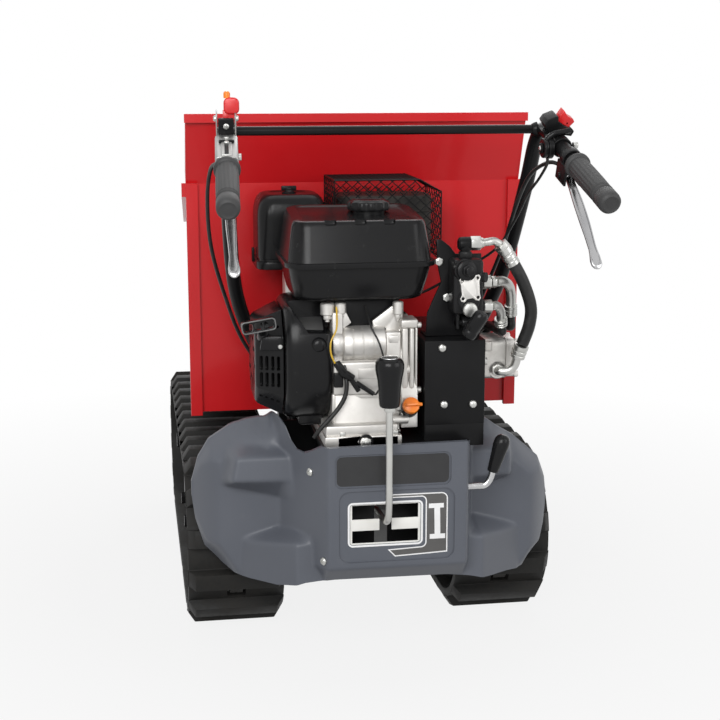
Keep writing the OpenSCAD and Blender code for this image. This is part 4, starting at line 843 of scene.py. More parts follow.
GEAR_X = -14.5
gear_rod = Shape.tube("gear_rod", [(GEAR_X, y, z) for y, z in (
    (-171, 265), (-300, 283), (-410, 293), (-444, 304), (-455, 335), (-456, 400), (-456, 503))], 6, 24, 8)
gear_rod.join(bored("gear_eye", (GEAR_X - 9, -150, 262), (GEAR_X + 9, -150, 262), 12, 5.05, 1.2),
              Shape.box("gear_neck", (GEAR_X - 5, -174, 257), (GEAR_X + 5, -161.5, 269), 1),
              Shape.rod("gear_nut", (GEAR_X, -456, 494), (GEAR_X, -456, 502), 10, sides=6).soft(0.8))
gear_rod.fit("gear_lever", ZINC, ("shift_lever",))
knob = Shape.turned("gear_knob", (GEAR_X, -456, 502), (0, 0, 1), [
    (0, 0), (14.5, 0), (16.2, 1.2), (17.2, 4), (18, 14), (18.6, 30), (20, 44), (22.6, 57), (24, 65), (24, 71),
    (23, 76), (20.5, 80), (17, 82.6), (15.6, 83), (15.2, 82.2), (12.6, 82.2), (12, 83.4), (7, 84.6), (0, 85)])
knob.fit("gear_lever", PLASTIC, ("shift_knob",), 40)
ring = Shape.added("knob_ring", bpy.ops.mesh.primitive_torus_add, major_segments=64, minor_segments=10,
                   major_radius=0.0142, minor_radius=0.0012, location=at(GEAR_X, -456, 584.4))
ring.fit("gear_lever", CHROME)

side_rod = Shape.tube("side_rod", [(118, -303, 342), (118, -350, 342), (119, -388, 342), (130, -400, 342),
                                   (150, -400, 342), (163, -400, 343), (172, -400, 352), (177, -400, 366.5)], 6, 24, 8)
side_rod.join(bored("side_eye", (110, -290, 342), (126, -290, 342), 14, 6.05, 1.2))
side_rod.fit("side_lever_group", POLISHED, ("side_lever",))
tilt = Vector((math.sin(math.radians(16.8)), 0, math.cos(math.radians(16.8))))
Shape.turned("side_grip", (177.03, -400, 366.1), tilt, [
    (0, 0), (8, 0), (9.2, 0.8), (9.8, 3), (11, 16), (12.6, 34), (13.9, 48), (14, 54), (12.8, 60), (10, 64.6),
    (6, 67.2), (0, 68)], 48).fit("side_lever_group", PLASTIC, ("side_knob",), 45)


# ---------------------------------------------------------------- fuel tank, air cleaner and muffler


def levels(cx, cy, rows):
    """Rounded outlines round one centre, each with its width, depth, corner and height."""
    return [[(x, y, z) for x, y in round_rect(w, d, r, 8, (cx, cy))] for w, d, r, z in rows]


tank = Shape.loft("tank_shell", levels(-47, -280, (
    (190, 134, 26, 664), (206, 154, 32, 664.8), (217, 167, 34, 668), (223, 175, 35, 674), (236, 195, 36, 702),
    (243, 205, 36, 722.8), (256, 218, 39, 723.4), (258, 220, 40, 725), (258, 220, 40, 730.6), (256, 218, 39, 732),
    (246, 207.5, 36, 732.6), (244, 205, 36, 737), (237, 188, 33, 764), (229, 171, 30, 790), (226, 168, 29, 794.5),
    (221, 163, 27, 798.4), (212, 155, 25, 800))))
tank.pick(lambda m, n: n.z > 0.99 and m.z > 799).inset(9).inset(3, -1.4)
rest_hands()
# The tank's top rises towards the bin, by this many metres.
TANK_RISE = 0.013
for vert in tank.o.data.vertices:
    share_up = min(1.0, max(0.0, vert.co.z * 1000 - 764) / 36)
    share_in = min(1.0, max(0.0, (vert.co.y * 1000 + BACK_WALL + 350) / 150))
    vert.co.z += TANK_RISE * share_up * share_in
tank.cut(*(Shape.box("notch", (x - 10, -372, 792.5), (x + 10, -349, 808), 3, 3) for x in (-98, -47, 2)))
neck = Shape.turned("filler_neck", (-19, -270, 798), (0, 0, 1),
                    [(0, 0), (34, 0), (34, 1.5), (31, 4), (28, 5), (28, 10), (0, 10)])
tank.join(neck).fit("chassis", PLASTIC, ("fuel_tank",))


def lobed(cx, cy, r, swell, z, lobes=12, count=144):
    """A round outline with shallow lobes."""
    reach = [(r + swell * math.cos(lobes * k), k) for k in ring_angles(count)]
    return [(cx + far * math.cos(k), cy + far * math.sin(k), z) for far, k in reach]


cap = Shape.loft("cap_crown", [lobed(-19, -270, *k) for k in (
    (32, 0.2, 808.4), (34.6, 0.8, 808.8), (35.4, 1.2, 810), (35.6, 1.4, 812), (35.6, 1.4, 820.5), (35, 1.2, 822.6),
    (33.4, 0.7, 824.2), (31, 0.1, 824.8), (29.6, 0, 826.4), (28.4, 0, 827.2), (26, 0, 827.2), (25, 0, 826.2),
    (18, 0, 826.0))])
cap.fit("filler_cap", PLASTIC, ("fuel_cap",), 40)

cleaner = Shape.loft("cleaner_box", levels(-138, -98, (
    (126, 132, 24, 692), (131, 137, 26, 693), (132, 138, 26, 695), (132, 138, 26, 704), (131, 137, 26, 706),
    (122, 128, 24, 707), (122, 128, 24, 710.5), (125, 131, 26, 711.2), (126, 132, 26, 713), (126, 132, 27, 786),
    (124.5, 130.5, 27, 798), (120, 126, 27, 809), (112, 118, 26, 818), (101, 107, 24, 824), (88, 94, 22, 826))))
cleaner.pick(lambda m, n: n.z > 0.99 and m.z > 825).inset(10).inset(2.5, -1.2)
thumb = Shape.turned("cleaner_nut", (-138, -98, 824), (0, 0, 1),
                     [(0, 0), (13, 0), (13, 2.4), (9, 4), (7, 6), (7, 9), (5.5, 10.5), (0, 11)], 40)
wing = Shape.box("nut_wing", (-152, -100, 829), (-124, -96, 838), 1.8, 3)
cleaner.join(thumb, wing)
clip = Shape.box("cleaner_clip", (-208, -104, 700), (-203, -92, 726), 1.5)
cleaner.join(clip).fit("chassis", PLASTIC, ("air_cleaner",))


def strands(origin, u, v, width, height, pu, pv, r):
    """Points and faces of thin square bars that cross over a panel, pu and pv apart."""
    origin, u, v = Vector(origin), Vector(u), Vector(v)
    normal = u.cross(v)
    points, faces = [], []
    for slope in (pv / pu, -pv / pu):
        reach = int(width / pu + height / pv) + 2
        for k in range(-reach, 2 * reach):
            start = k * pu
            ends = []
            for s in (0.0, width):
                t = (s - start) * slope
                if 0 <= t <= height:
                    ends.append((s, t))
            for t in (0.0, height):
                s = start + t / slope
                if 0 < s < width:
                    ends.append((s, t))
            if len(ends) < 2 or math.dist(ends[0], ends[1]) < 6:
                continue
            a, b = (origin + u * e[0] + v * e[1] for e in ends[:2])
            across = (b - a).cross(normal).normalized() * r
            lift = normal * r * (1 if slope > 0 else 0.6)
            base = len(points)
            points += [a + across, a + lift, a - across, a - lift, b + across, b + lift, b - across, b - lift]
            faces += [(base + i, base + (i + 1) % 4, base + 4 + (i + 1) % 4, base + 4 + i) for i in range(4)]
            faces += [(base + 3, base + 2, base + 1, base), (base + 4, base + 5, base + 6, base + 7)]
    return points, faces


def cage():
    """Wire guard round the muffler, with one sloping corner."""
    left, right, rear, front, low, top = -62.0, 134.0, -162.0, -22.0, 709.0, 851.0
    slope_x, slope_z = 94.0, 829.0
    # Width and height of a mesh, and half the thickness of its wire and of the frame's.
    mesh_u, mesh_v, wire, frame_wire = 21.0, 19.0, 0.95, 1.3
    across, inwards, upwards = (1, 0, 0), (0, 1, 0), (0, 0, 1)
    deep, tall = front - rear, slope_z - low
    slope = Vector((right - slope_x, 0, slope_z - top))
    points, faces = [], []
    for origin, u, v, w, h in (((left, rear, low), across, upwards, right - left, tall),
                               ((left, front, low), across, upwards, right - left, tall),
                               ((left, rear, slope_z), across, upwards, slope_x - left, top - slope_z),
                               ((left, rear, low), inwards, upwards, deep, top - low),
                               ((right, rear, low), inwards, upwards, deep, tall),
                               ((left, rear, top), across, inwards, slope_x - left, deep),
                               ((slope_x, rear, top), slope.normalized(), inwards, slope.length, deep)):
        p, f = strands(origin, u, v, w, h, mesh_u, mesh_v, wire)
        faces += [tuple(i + len(points) for i in face) for face in f]
        points += p
    made = Shape.mesh("guard_cage", lay(points), faces).outward()
    outline = ((left, low), (left, top), (slope_x, top), (right, slope_z), (right, low))
    lines = [[(x, y, z) for x, z in outline] for y in (rear, front)]
    lines += [[(x, rear, z), (x, front, z)] for x, z in (*outline[1:4], outline[0], outline[4])]
    for line in lines:
        made.join(Shape.tube("guard_edge", line, frame_wire, 8, 0))
    for x in (-60.5, 124):
        made.join(Shape.box("guard_tab", (x, -110, 716), (x + 8.5, -74, 720), 0.6))
    return made


cage().fit("chassis", BLACK, ("muffler_guard",), 40)
muffler = Shape.of_node("muffler", "muffler_can")
muffler.cut(Shape.box("can_room", (-80, -200, 821), (160, 20, 860))).soft(7.0, 4, 40)
seam = round_rect(177, 113, 30, 6, (36, -92)) + [(124.5, -65.5)]
muffler.join(*(Shape.tube("can_seam", [(x, y, z) for x, y in seam], 1.8, 8, 0) for z in (742, 792)))
muffler.fit("chassis", BURNT, ("muffler",))


# ---------------------------------------------------------------- engine

CRANK_Y, DRUM_Z = -270, 555


def shroud():
    """Rounded fan shroud with a pocket under the tank and a round plug."""
    section = smooth_run([(-300, 452), (-346, 470), (-372, 512), (-379, 560), (-374, 610), (-356, 644), (-316, 660),
                          (-230, 662), (-184, 640), (-160, 600), (-154, 545), (-166, 494), (-200, 460), (-250, 450)],
                         6, closed=True)
    middle = np.array((-264.0, 556.0))
    rings = []
    for x, share in ((-176, 0.86), (-175.2, 0.91), (-173, 0.945), (-169, 0.972), (-163, 0.99), (-154, 1.0),
                     (-112, 1.0), (-105, 0.992), (-100, 0.972), (-97.4, 0.94), (-97, 0.90)):
        rings.append([(x, *(middle + (point - middle) * share)) for point in section])
    made = Shape.loft("engine_shroud", rings)
    pocket = [(-171, 668), (-167, 657), (-137.6, 613.5), (-88, 611.5), (-88, 668)]
    made.cut(Shape.facing("shroud_pocket", pocket, -400, 88))
    made.soft(3.0, 3, 40)
    plug = Shape.turned("shroud_plug", (-120.6, -366, 593), (0, -1, 0.06), [
        (0, 0), (13.5, 0), (13.5, 10), (12.6, 11.4), (11.8, 10.6), (10.6, 13), (8, 14.6), (4.5, 15.6), (0, 16)], 40)
    rib = Shape.box("shroud_rib", (-150, -330, 444), (-106, -240, 470), 5, 3)
    return made.join(plug, rib)


def drum_ring(x, share):
    """Eight-sided outline of the recoil starter's cap."""
    outline = ((-86, 50), (-52, 92), (52, 92), (86, 50), (86, -50), (52, -92), (-52, -92), (-86, -50))
    return [(x, CRANK_Y + y * share, DRUM_Z + z * share) for y, z in outline]


def recoil_cap():
    """Drum with rows of slots and holes and a vented end."""
    made = Shape.loft("recoil_cap", [drum_ring(*k) for k in ((-225, 0.66), (-224, 0.74), (-219, 0.80), (-178, 1.0))])
    made.soft(2.5, 2, 25)
    pad = [(-218, -352, 583), (-181, -360, 583), (-181, -360, 607), (-214, -352, 607)]
    made.join(Shape.plate("recoil_pad", pad, (0, 12, 0)).soft(2))
    tools = []
    for x in (-215, -205.8, -196.2, -186.8):
        for low in (518, 546.5):
            tools.append(Shape.box("slot", (x - 2.7, -372, low), (x + 2.7, -326, low + 25), 2.2, 2))
        share = 0.80 + 0.2 * (x + 219) / 41
        for side in (1, -1):
            y, z = CRANK_Y - 72 * share, DRUM_Z + side * 68 * share
            tools.append(Shape.rod("hole", (x, y + 12, z - side * 10), (x, y - 14, z + side * 12), 2.9, sides=16))
    # Each vent is drawn upright, leans about its own middle and is then turned round the drum.
    lean = Matrix.Translation((0, 0, 45)) @ turn(28, "X") @ Matrix.Translation((0, 0, -45))
    for k in range(12):
        vent = Shape.box("vent", (-236, -4, 30), (-217, 4, 60), 2.5, 2)
        tools.append(seat(vent, Matrix.Translation((0, CRANK_Y, DRUM_Z)) @ turn(30 * k, "X") @ lean))
    made.cut(*tools)
    return made.join(Shape.rod("rope_guide", (-212, -336, 602), (-212, -352, 614), 10, 8.5, 32).soft(1.5))


shroud().fit("chassis", PLASTIC, ("fan_shroud",), 40)
recoil_cap().fit("chassis", PLASTIC, ("recoil_starter",), 30)
Shape.turned("recoil_screw", (-184.5, -352, 590), (0, -1, 0),
             [(0, 0), (4.2, 0), (4.2, 9), (3.4, 10.6), (0, 11)], 24).fit("chassis", ZINC)


def pull_handle():
    """Hollow grip on the end of the starter rope."""
    made = Shape.facing("pull_handle", round_rect(58, 21, 6, 5), -6, 13)
    made.cut(*(Shape.facing("window", round_rect(w, 13, 3.5, 4, (x, 0)), -12, 24)
               for x, w in ((-17.5, 15), (0, 14), (17.5, 15))))
    made.soft(1.2)
    edge = Shape.tube("edge", [(x, -6.4, z) for x, z in round_rect(56, 19, 5.4, 5) + [(28, 4.1)]], 1.2, 8, 0)
    stem = Shape.rod("stem", (10, 4, -2), (10, 20, -10), 7, 5, 32)
    rope = Shape.tube("rope", [(10, 14, -8), (10, 31, -20), (10, 80, -60)], 2.5, 12, 0)
    place = Matrix.Translation((-222, -377, 630)) @ turn(-9, "Y")
    return [seat(piece, place) for piece in (made.join(stem, rope), edge)]


handle, edge = pull_handle()
handle.fit("starter_pull", PLASTIC, ("starter_handle",))
edge.fit("starter_pull", IRON)


def boss(x, low, top, r):
    """Round boss under the tank with the bolt that comes up through it."""
    made = Shape.turned("tank_boss", (x, -352, low), (0, 0, 1), [
        (0, 0), (r - 1, 0), (r, 1), (r, top - low - 2), (r - 1.5, top - low), (0, top - low)], 40)
    bolt = Shape.rod("boss_bolt", (x, -352, low - 8), (x, -352, low), 0.66 * r, sides=6).soft(0.8)
    return made.join(bolt, Shape.rod("boss_thread", (x, -352, low - 12), (x, -352, low), 0.36 * r, sides=20))


def engine_block():
    """Cast block: core, stepped base, face plates, machined barrel and the bosses below the tank."""
    made = Shape.of_node("crankcase", "engine_block")
    made.cut(Shape.box("post_room", (-96, -400, 563), (24, -338.5, 672)))
    made.soft(2.0, clamp=False)
    groove = [(0, 0), (25, 0), (29, 1.5), (30.5, 4)]
    for x in (15, 17, 32, 34, 50, 52):
        groove += [(30.5, x), (30.1, x + 0.5), (30.1, x + 1.2), (30.5, x + 1.7)]
    barrel = Shape.turned("machined_barrel", (-78, -344, 588.5), (1, 0, 0), groove + [(30.5, 72), (0, 72)], 96)
    collar = Shape.turned("barrel_collar", (-97, -346, 590), (1, 0, 0), [
        (0, 0), (19, 0), (23, 2), (25, 6), (25, 15), (23, 20), (0, 20)], 48)
    boxes = [Shape.box(*row) for row in (
        ("upper_face", (-96, -374, 504), (21, -240, 562), 4, 3),
        ("right_pillar", (-6, -372, 500), (21, -300, 612), 4, 3),
        ("pad", (-1, -374, 593), (16, -360, 606), 2, 2),
        ("pad", (-1, -374, 562), (16, -360, 573), 2, 2),
        ("lower_face", (-98, -370, 455), (20, -200, 507), 3, 3),
        ("base_upper", (-112, -392, 437), (12, -155, 456), 3, 3),
        ("base_lower", (-114, -398, 420), (13, -150, 438.5), 2, 3),
        ("left_column", (-96.5, -361, 560), (-77, -330, 646), 4, 3),
        ("small_pad", (11, -384, 478), (20, -366, 488), 1.5, 2))]
    ledge = [(-60, 505), (-6, 505), (-6, 499), (-48, 499)]
    left_web = [(-78, 646), (-72, 646), (-62, 626), (-78, 614)]
    tank_web = [(-25.6, 627), (8, 652), (27, 652), (27, 604), (-20, 604)]
    plates = [Shape.facing(name, outline, y, depth).soft(edge) for name, outline, y, depth, edge in (
        ("cast_frame", round_rect(33, 18, 2, 3, (-37, 541.5)), -373.2, -1.6, 0.6),
        ("ledge", ledge, -371, -4, 1),
        ("bare_plate", round_rect(60, 18, 1.5, 3, (-66, 460.5)), -369.5, -1.4, 0.4),
        ("left_web", left_web, -352, 8, 1))]
    made.join(barrel, collar, *boxes, *plates,
              boss(-103, 641, 661, 12), boss(-80.5, 643, 661, 9.5), boss(18.3, 639, 661, 9.2),
              Shape.rod("small_plug", (4, -384, 461.5), (31, -384, 461.5), 7.4, sides=32).soft(1),
              Shape.rod("pad_root", (12, -384, 461.5), (12, -364, 461.5), 8, sides=32).soft(1))
    web = Shape.facing("tank_web", tank_web, -350, 7)
    web.cut(Shape.rod("web_hole", (-5, -356, 612.5), (-5, -338, 612.5), 3.2, sides=20))
    return made.join(web.soft(1))


engine_block().fit("chassis", ALLOY, ("crankcase",))
# Black plate of painted shade, which keeps the gap between the tank and the barrel dark.
Shape.box("gap_shade_plate", (-94, -336, 598), (24, -331, 662), 1.5).fit("chassis", BLACK)
drain = Shape.rod("drain_bolt", (-44.2, -397, 429), (-44.2, -406, 429), 8.6, sides=6).soft(0.9)
drain.join(Shape.rod("drain_stub", (-44.2, -405, 429), (-44.2, -409, 429), 4.5, sides=24).soft(0.6))
drain.fit("chassis", ZINC)
washer = Shape.turned("drain_washer", (-44.2, -397, 429), (0, -1, 0), [(0, 0), (12.5, 0), (12.5, 3), (0, 3)], 40)
washer.fit("chassis", BLACK)


def engine_cover():
    """Ribbed side cover with its edge bolts."""
    made = Shape.of_node("crankcase_cover", "engine_cover")
    made.cut(Shape.box("cover_room", (10, -420, 633), (70, -120, 700)))
    made.soft(1.5, clamp=False)
    for lo, hi, y in ((21.5, 32.5, -376), (34.5, 43, -377), (44.5, 49, -374)):
        made.join(Shape.box("cover_rib", (lo, y, 512), (hi, -320, 618), 3.6, 4))
    made.join(Shape.box("cover_top", (20, -372, 616), (50.5, -325, 632), 4, 3),
              Shape.box("cover_low", (15, -376, 500), (51, -325, 515), 4, 3))
    for x, z in ((50, 621), (51, 508)):
        made.join(Shape.turned("edge_bolt", (x - 2, -364, z), (1, 0, 0),
                               [(0, 0), (5.2, 0), (5.2, 7), (4, 8.6), (0, 9)], 24))
    return made


engine_cover().fit("chassis", ALLOY, ("crankcase_cover",))

DIPSTICK_PLACE = Matrix.Translation((34, -380, 480)) @ turn(62, "X")


def dipstick():
    """Filler plug with a pointed finger tab."""
    made = Shape.turned("dipstick_cap", (0, 0, -30), (0, 0, 1), [
        (0, 0), (8.9, 0), (8.9, 42.2), (14, 42.4), (14.4, 43.4), (14.4, 49), (13.4, 51.4), (10, 52.8), (0, 53.2)], 56)
    tab = [(-12, 21), (-9, 27), (8, 29.5), (19, 24), (17, 20), (10, 17)]
    made.join(Shape.facing("tab", tab, -2.8, 5.6).soft(1.2))
    return seat(made, DIPSTICK_PLACE)


dipstick().fit("dipstick", ORANGE, ("oil_dipstick",))
collar = Shape.turned("dipstick_seat", (0, 0, -6), (0, 0, 1),
                      [(9.3, 0), (15.4, 0), (15.4, 13), (14.6, 17.6), (9.3, 17.6)], 48)
seat(collar, DIPSTICK_PLACE).fit("chassis", PLASTIC)

Shape.tube("yellow_lead", [(-88, -356, 655), (-90.8, -378, 623), (-101.5, -386, 601), (-101.8, -386, 581),
                           (-95, -386, 563.6), (-88, -384, 554)], 1.5, 10, 8).fit("chassis", YELLOW, (), 50)
joint = Shape.rod("lead_joint", (-93, -385, 565), (-79, -386, 545), 6.4, 7.6, 24).soft(1.5)
joint.join(Shape.rod("joint_body", (-84, -386, 549), (-64, -387, 536), 7.2, 6.6, 24).soft(1.5),
           Shape.rod("joint_sleeve", (-71, -386.5, 541), (-54.8, -387, 514.4), 4.6, 4.2, 20).soft(1),
           Shape.rod("side_sleeve", (-59, -386, 529), (-29, -387, 508.3), 4.4, 4.0, 20).soft(1),
           Shape.tube("sleeve_lead", [(-30, -387, 509), (-25, -386, 508), (-20.9, -384, 513), (-14, -380, 518)],
                      1.6, 10, 6),
           Shape.box("lead_clip", (-96, -382, 520), (-80, -370, 545), 2.5, 3))
joint.fit("chassis", PLASTIC, slot="hose_rubber")


# ---------------------------------------------------------------- hoses, fittings and cables

# Radius and run of each hose, and further down of each cable, as in the drawing.
HOSES = {
    "pressure_hose": (11, [(221, -345, 721), (240, -345, 686), (254, -345, 645), (253, -342, 611), (243, -336, 577)]),
    "lift_hose": (8, [
        (231.03, -299.9, 621.7), (231.98, -297.04, 612.2), (233.1, -293.6, 600.7), (230, -262, 598), (222, -225, 592),
        (208, -190, 566), (193, -150, 500), (180, -115, 430), (161, -95, 386), (154, -50, 366), (150, 0, 358),
        (132, 70, 340), (118, 140, 316), (118, 330, 312), (104, 412, 310), (60, 434, 306), (22, 490, 290),
        (4, 526, 248), (0, 540.6, 230.6), (0, 549.9, 223), (0, 557.6, 216.6)]),
    "lower_hose": (8, [
        (208.06, -321.84, 609.76), (209.69, -317.5, 603.24), (211.73, -312.07, 595.1), (206, -270, 596),
        (197, -232, 592), (186, -195, 556), (178, -160, 490), (174, -130, 420), (158, -110, 364), (154, -60, 345),
        (150, 0, 338), (134, 70, 318), (118, 140, 296), (118, 330, 290), (104, 414, 286), (70, 432, 276),
        (42, 480, 278), (30, 540, 304), (12, 590, 338), (0, 619.9, 326.3), (0, 629.1, 318.7), (0, 636.9, 312.3)]),
}


def bundle(runs, sides, steps, node):
    """Tubes along several runs, joined into one piece that stands for a solid."""
    first, *others = [Shape.tube(name, run, r, sides, steps) for name, (r, run) in runs.items()]
    first.join(*others).fit("chassis", HOSE, (node,), 50)


bundle(HOSES, 20, 6, "hydraulic_hoses")


def crimp(name, a, b, r):
    """A pressed ferrule with two ring grooves."""
    axis = Vector(b) - Vector(a)
    span = axis.length
    grooves = [(r, 0.3), (r - 1, 0.34), (r - 1, 0.42), (r, 0.46), (r, 0.62), (r - 1, 0.66), (r - 1, 0.74), (r, 0.78)]
    middle = [(reach, share * span) for reach, share in grooves]
    return Shape.turned(name, a, axis, [(0, 0), (r - 2, 0), (r, 1), *middle,
                                        (r, span - 1), (r - 2, span), (0, span)], 32)


def nut(name, a, b, r):
    """A six-sided rod with rounded ends."""
    return Shape.rod(name, a, b, r, sides=6).soft(0.9)


def disc(name, base, axis, r, h, sides=40):
    """A round collar with a chamfer at its end."""
    return Shape.turned(name, base, axis, [(0, 0), (r, 0), (r, h - 2), (r - 2, h), (0, h)], sides)


pipes = nut("pipe_fittings", (140.5, -362, 758.5), (158.5, -362, 758.5), 12.5)
pipes.join(*(nut(*row) for row in (
    ("press_hex", (196, -347, 754), (204.5, -345.6, 745), 13.5),
    ("lift_nut", (166, -352, 690), (180, -352, 690), 12.5),
    ("lift_collar", (181, -352, 690), (189, -351, 690), 10.5),
    ("lower_nut", (166, -362, 650), (180, -362, 650), 11.5),
    ("pump_nut", (206, -316, 526), (206, -309.1, 526), 11.5))))
pipes.join(*(crimp(*row) for row in (
    ("press_crimp", (203, -346, 748), (222, -345, 718), 12.6),
    ("lift_crimp", (229, -306, 642), (231, -300, 622), 11.5),
    ("lower_crimp", (205, -330, 622), (208, -322, 610), 11.5),
    ("pump_crimp", (242.2, -335.5, 575), (236, -329, 552), 13.5))))
pipes.join(*(Shape.tube(name, run, r, 20, 8) for name, r, run in (
    ("press_pipe", 7, [(158, -362, 759), (172, -359, 760), (185, -352, 760), (197, -348, 753), (204, -346, 745)]),
    ("lift_elbow", 9, [(188, -352, 690), (204, -340, 689), (220, -322, 678), (227, -312, 660), (229, -306, 642)]),
    ("lower_elbow", 8, [(180, -362, 650), (192, -352, 648), (202, -340, 636), (205, -330, 622)]),
    ("pump_elbow", 8, [(236, -329, 552), (232, -326, 536), (222, -323, 527), (208, -319, 526), (206, -314, 526)]))))
pipes.join(disc("pipe_collar", (157, -362, 759), (1, 0.2, 0.05), 9, 7, 32))
pipes.fit("chassis", ZINC, ("hydraulic_fittings",))
stub = Shape.turned("valve_stub", (132, -362, 744), (0, 0, 1),
                    [(0, 0), (9, 0), (9, 4), (10.5, 5), (10.5, 12), (0, 12)], 40)
stub.join(Shape.turned("stub_elbow", (119, -362, 758), (1, 0, 0),
                       [(0, 0), (8, 0.4), (11, 3), (12, 8), (12, 20), (10, 22), (0, 22)], 40),
          Shape.turned("stub_foot", (132, -362, 748), (0, 0, 1),
                       [(0, 0), (11, 0), (11.6, 2), (11.6, 9), (0, 10)], 40)).fit("chassis", BLACK)


def valve():
    """Control valve: body, relief cartridge with its adjuster, and port bosses."""
    made = Shape.box("valve_body", (108, -383, 640), (160, -340, 733), 6, 4)
    made.join(
        Shape.turned("relief", (126, -378, 716), (0.1, -1, 0.05), [
            (0, 0), (19, 0), (19, 9), (17, 11), (15.4, 11), (15.4, 14), (16.6, 15), (16.6, 19), (13, 21), (9, 21),
            (9, 24), (0, 24)], 48),
        nut("adjuster", (128.3, -402, 717), (129.6, -414, 717.6), 8),
        nut("lock_nut", (128, -400, 717), (128.6, -405, 717.2), 10.5),
        nut("port_hex", (132, -362, 733), (132, -362, 745), 12),
        disc("spring_cap", (134, -382, 664), (0, -1, 0), 19, 7, 48),
        disc("upper_port", (158, -352, 690), (1, 0, 0), 14, 8),
        disc("lower_port", (158, -362, 650), (1, 0, 0), 13, 8),
        Shape.turned("side_port", (148, -372, 703), (0.8, -0.6, 0),
                     [(0, 0), (11, 0), (11, 12), (8.5, 14), (8.5, 20), (0, 20)], 40))
    made.join(*(Shape.box("spool_lug", (x, -368, 612), (x + 5.6, -348, 643), 2, 2) for x in (117, 160)))
    return made.join(Shape.rod("spool_pin", (117, -358, 622), (165.6, -358, 622), 5, sides=32))


valve().fit("chassis", VALVE, ("control_valve",))
plate = [(116, 700), (119, 704), (126, 703), (131, 699), (139, 701), (144, 708), (150, 709), (153, 705), (151, 697),
         (152, 676), (154, 669), (151, 664), (145, 665), (140, 669), (130, 667), (126, 662), (120, 663), (118, 668),
         (121, 675), (119, 691)]
face = Shape.facing("valve_plate", plate, -390, 8)
face.cut(*(Shape.rod("hole", (x, -396, z), (x, -385, z), 2.7, sides=20)
           for x, z in ((121, 698), (147.5, 703), (149, 670), (123, 668))))
face.soft(0.9).fit("chassis", ALLOY)
Shape.turned("valve_cap", (134, -384, 650), (0, -1, 0), [
    (0, 0), (10, 0), (10, 6), (12.4, 7), (12.4, 14), (11, 16), (7, 17.2), (0, 17.6)], 48).fit(
        "chassis", ZINC, slot="chrome_steel")

lever = Shape.turned("valve_grip", (124, -420, 609), (0.459, -0.265, 0.848), [
    (0, 0), (9.5, 0), (12, 1.6), (13, 5), (13, 12), (12.4, 13), (12.4, 15), (13, 16), (13, 40), (12.2, 45), (9.4, 49),
    (5, 50.4), (0, 50.6)], 48)
lever.join(Shape.box("valve_arm", (128, -424, 611), (140, -366, 621), 3, 3),
           bored("valve_hub", (127.6, -358, 622), (159.4, -358, 622), 12, 5.3, 1.5, bore_sides=40))
lever.fit("valve_lever", PLASTIC, ("valve_handle",))

sheet = [(88, 596), (70, 596), (72, 636), (84, 664), (96, 690), (91, 712), (88, 740), (87, 764), (97, 762), (110, 752),
         (121, 738), (166, 738), (166, 596)]
bracket = Shape.facing("valve_sheet", sheet, -340, 5)
bracket.join(Shape.box("sheet_foot", (70, -335.5, 595), (166, -290, 600))).soft(1.0)
bracket.fit("chassis", BLACK, ("valve_bracket",))


def pump():
    """Gear pump: flange, body and cover, with the cast port boss facing the operator."""
    made = Shape.of_node("gear_pump", "pump_body").soft(2.4, 3, clamp=False)
    made.join(Shape.turned("pump_boss", (206, -300, 526), (0, -1, 0),
                           [(0, 0), (17, 0), (17, 6), (15, 9), (0, 9)], 40),
              Shape.box("pump_rib", (182, -312, 560), (196, -290, 578), 3, 3))
    for y, z in ((-300, 574), (-240, 574), (-300, 516), (-240, 516)):
        made.join(nut("pump_bolt", (238, y, z), (246, y, z), 6))
    return made


pump().fit("chassis", ALLOY, ("gear_pump",))

CABLES = {
    "clutch_cable": (3.5, [
        (-274.6, -452.5, 888), (-273.9, -441.2, 891.9), (-282, -400, 900), (-294, -345, 886), (-298, -300, 830),
        (-290, -245, 745), (-264, -188, 650), (-230, -148, 560), (-165, -125, 460), (-136, -130, 400),
        (-128, -138, 330), (-100, -130, 285), (-76, -122, 262), (-64, -118, 253.4)]),
    "brake_cable": (3.5, [
        (274.6, -452.5, 888), (273.9, -441.2, 891.9), (262, -404, 896), (248, -345, 872), (238, -300, 820),
        (228, -245, 735), (208, -185, 640), (186, -142, 560), (160, -114, 470), (140, -104, 425), (118, -102, 416),
        (106, -102, 416)]),
    "throttle_cable": (2.5, [
        (253, -425.1, 904.7), (253, -421.3, 892.5), (249, -392, 868), (242, -350, 838), (234, -306, 792),
        (212, -260, 735), (160, -212, 690), (110, -192, 656), (70, -190, 642), (44.4, -190, 640)]),
    "stop_lead": (4.0, [
        (-78, -371.8, 556), (-75, -383, 532), (-77, -386, 510), (-87, -388, 490), (-104, -390, 470),
        (-121, -390, 452), (-131, -386, 436)]),
    "plug_lead": (1.7, [
        (-36, -340, 652), (-31.3, -372, 622), (-19.4, -383, 596), (-11.7, -386, 567), (-10, -385, 540)]),
}
bundle(CABLES, 12, 8, "control_cables")


# ---------------------------------------------------------------- handlebar

TOP_BEND = Vector((267, -335, 957))
GRIP_END = Vector((287, -646, 850))
GRIP_DIR = (GRIP_END - TOP_BEND).normalized()
GRIP_RUN = (GRIP_END - TOP_BEND).length
GRIP_PITCH = math.asin(-GRIP_DIR.z)
GRIP_SPLAY = math.asin(GRIP_DIR.x / math.cos(GRIP_PITCH))
GRIP_TURN = Matrix.Rotation(GRIP_SPLAY, 4, "Z") @ Matrix.Rotation(GRIP_PITCH, 4, "X")


def on_grip(side, t):
    """Matrix, in drawing millimetres, of the place t behind the bend of the bar."""
    place = Matrix.Translation(TOP_BEND + t * GRIP_DIR) @ GRIP_TURN
    return (MIRROR if side < 0 else Matrix.Identity(4)) @ place


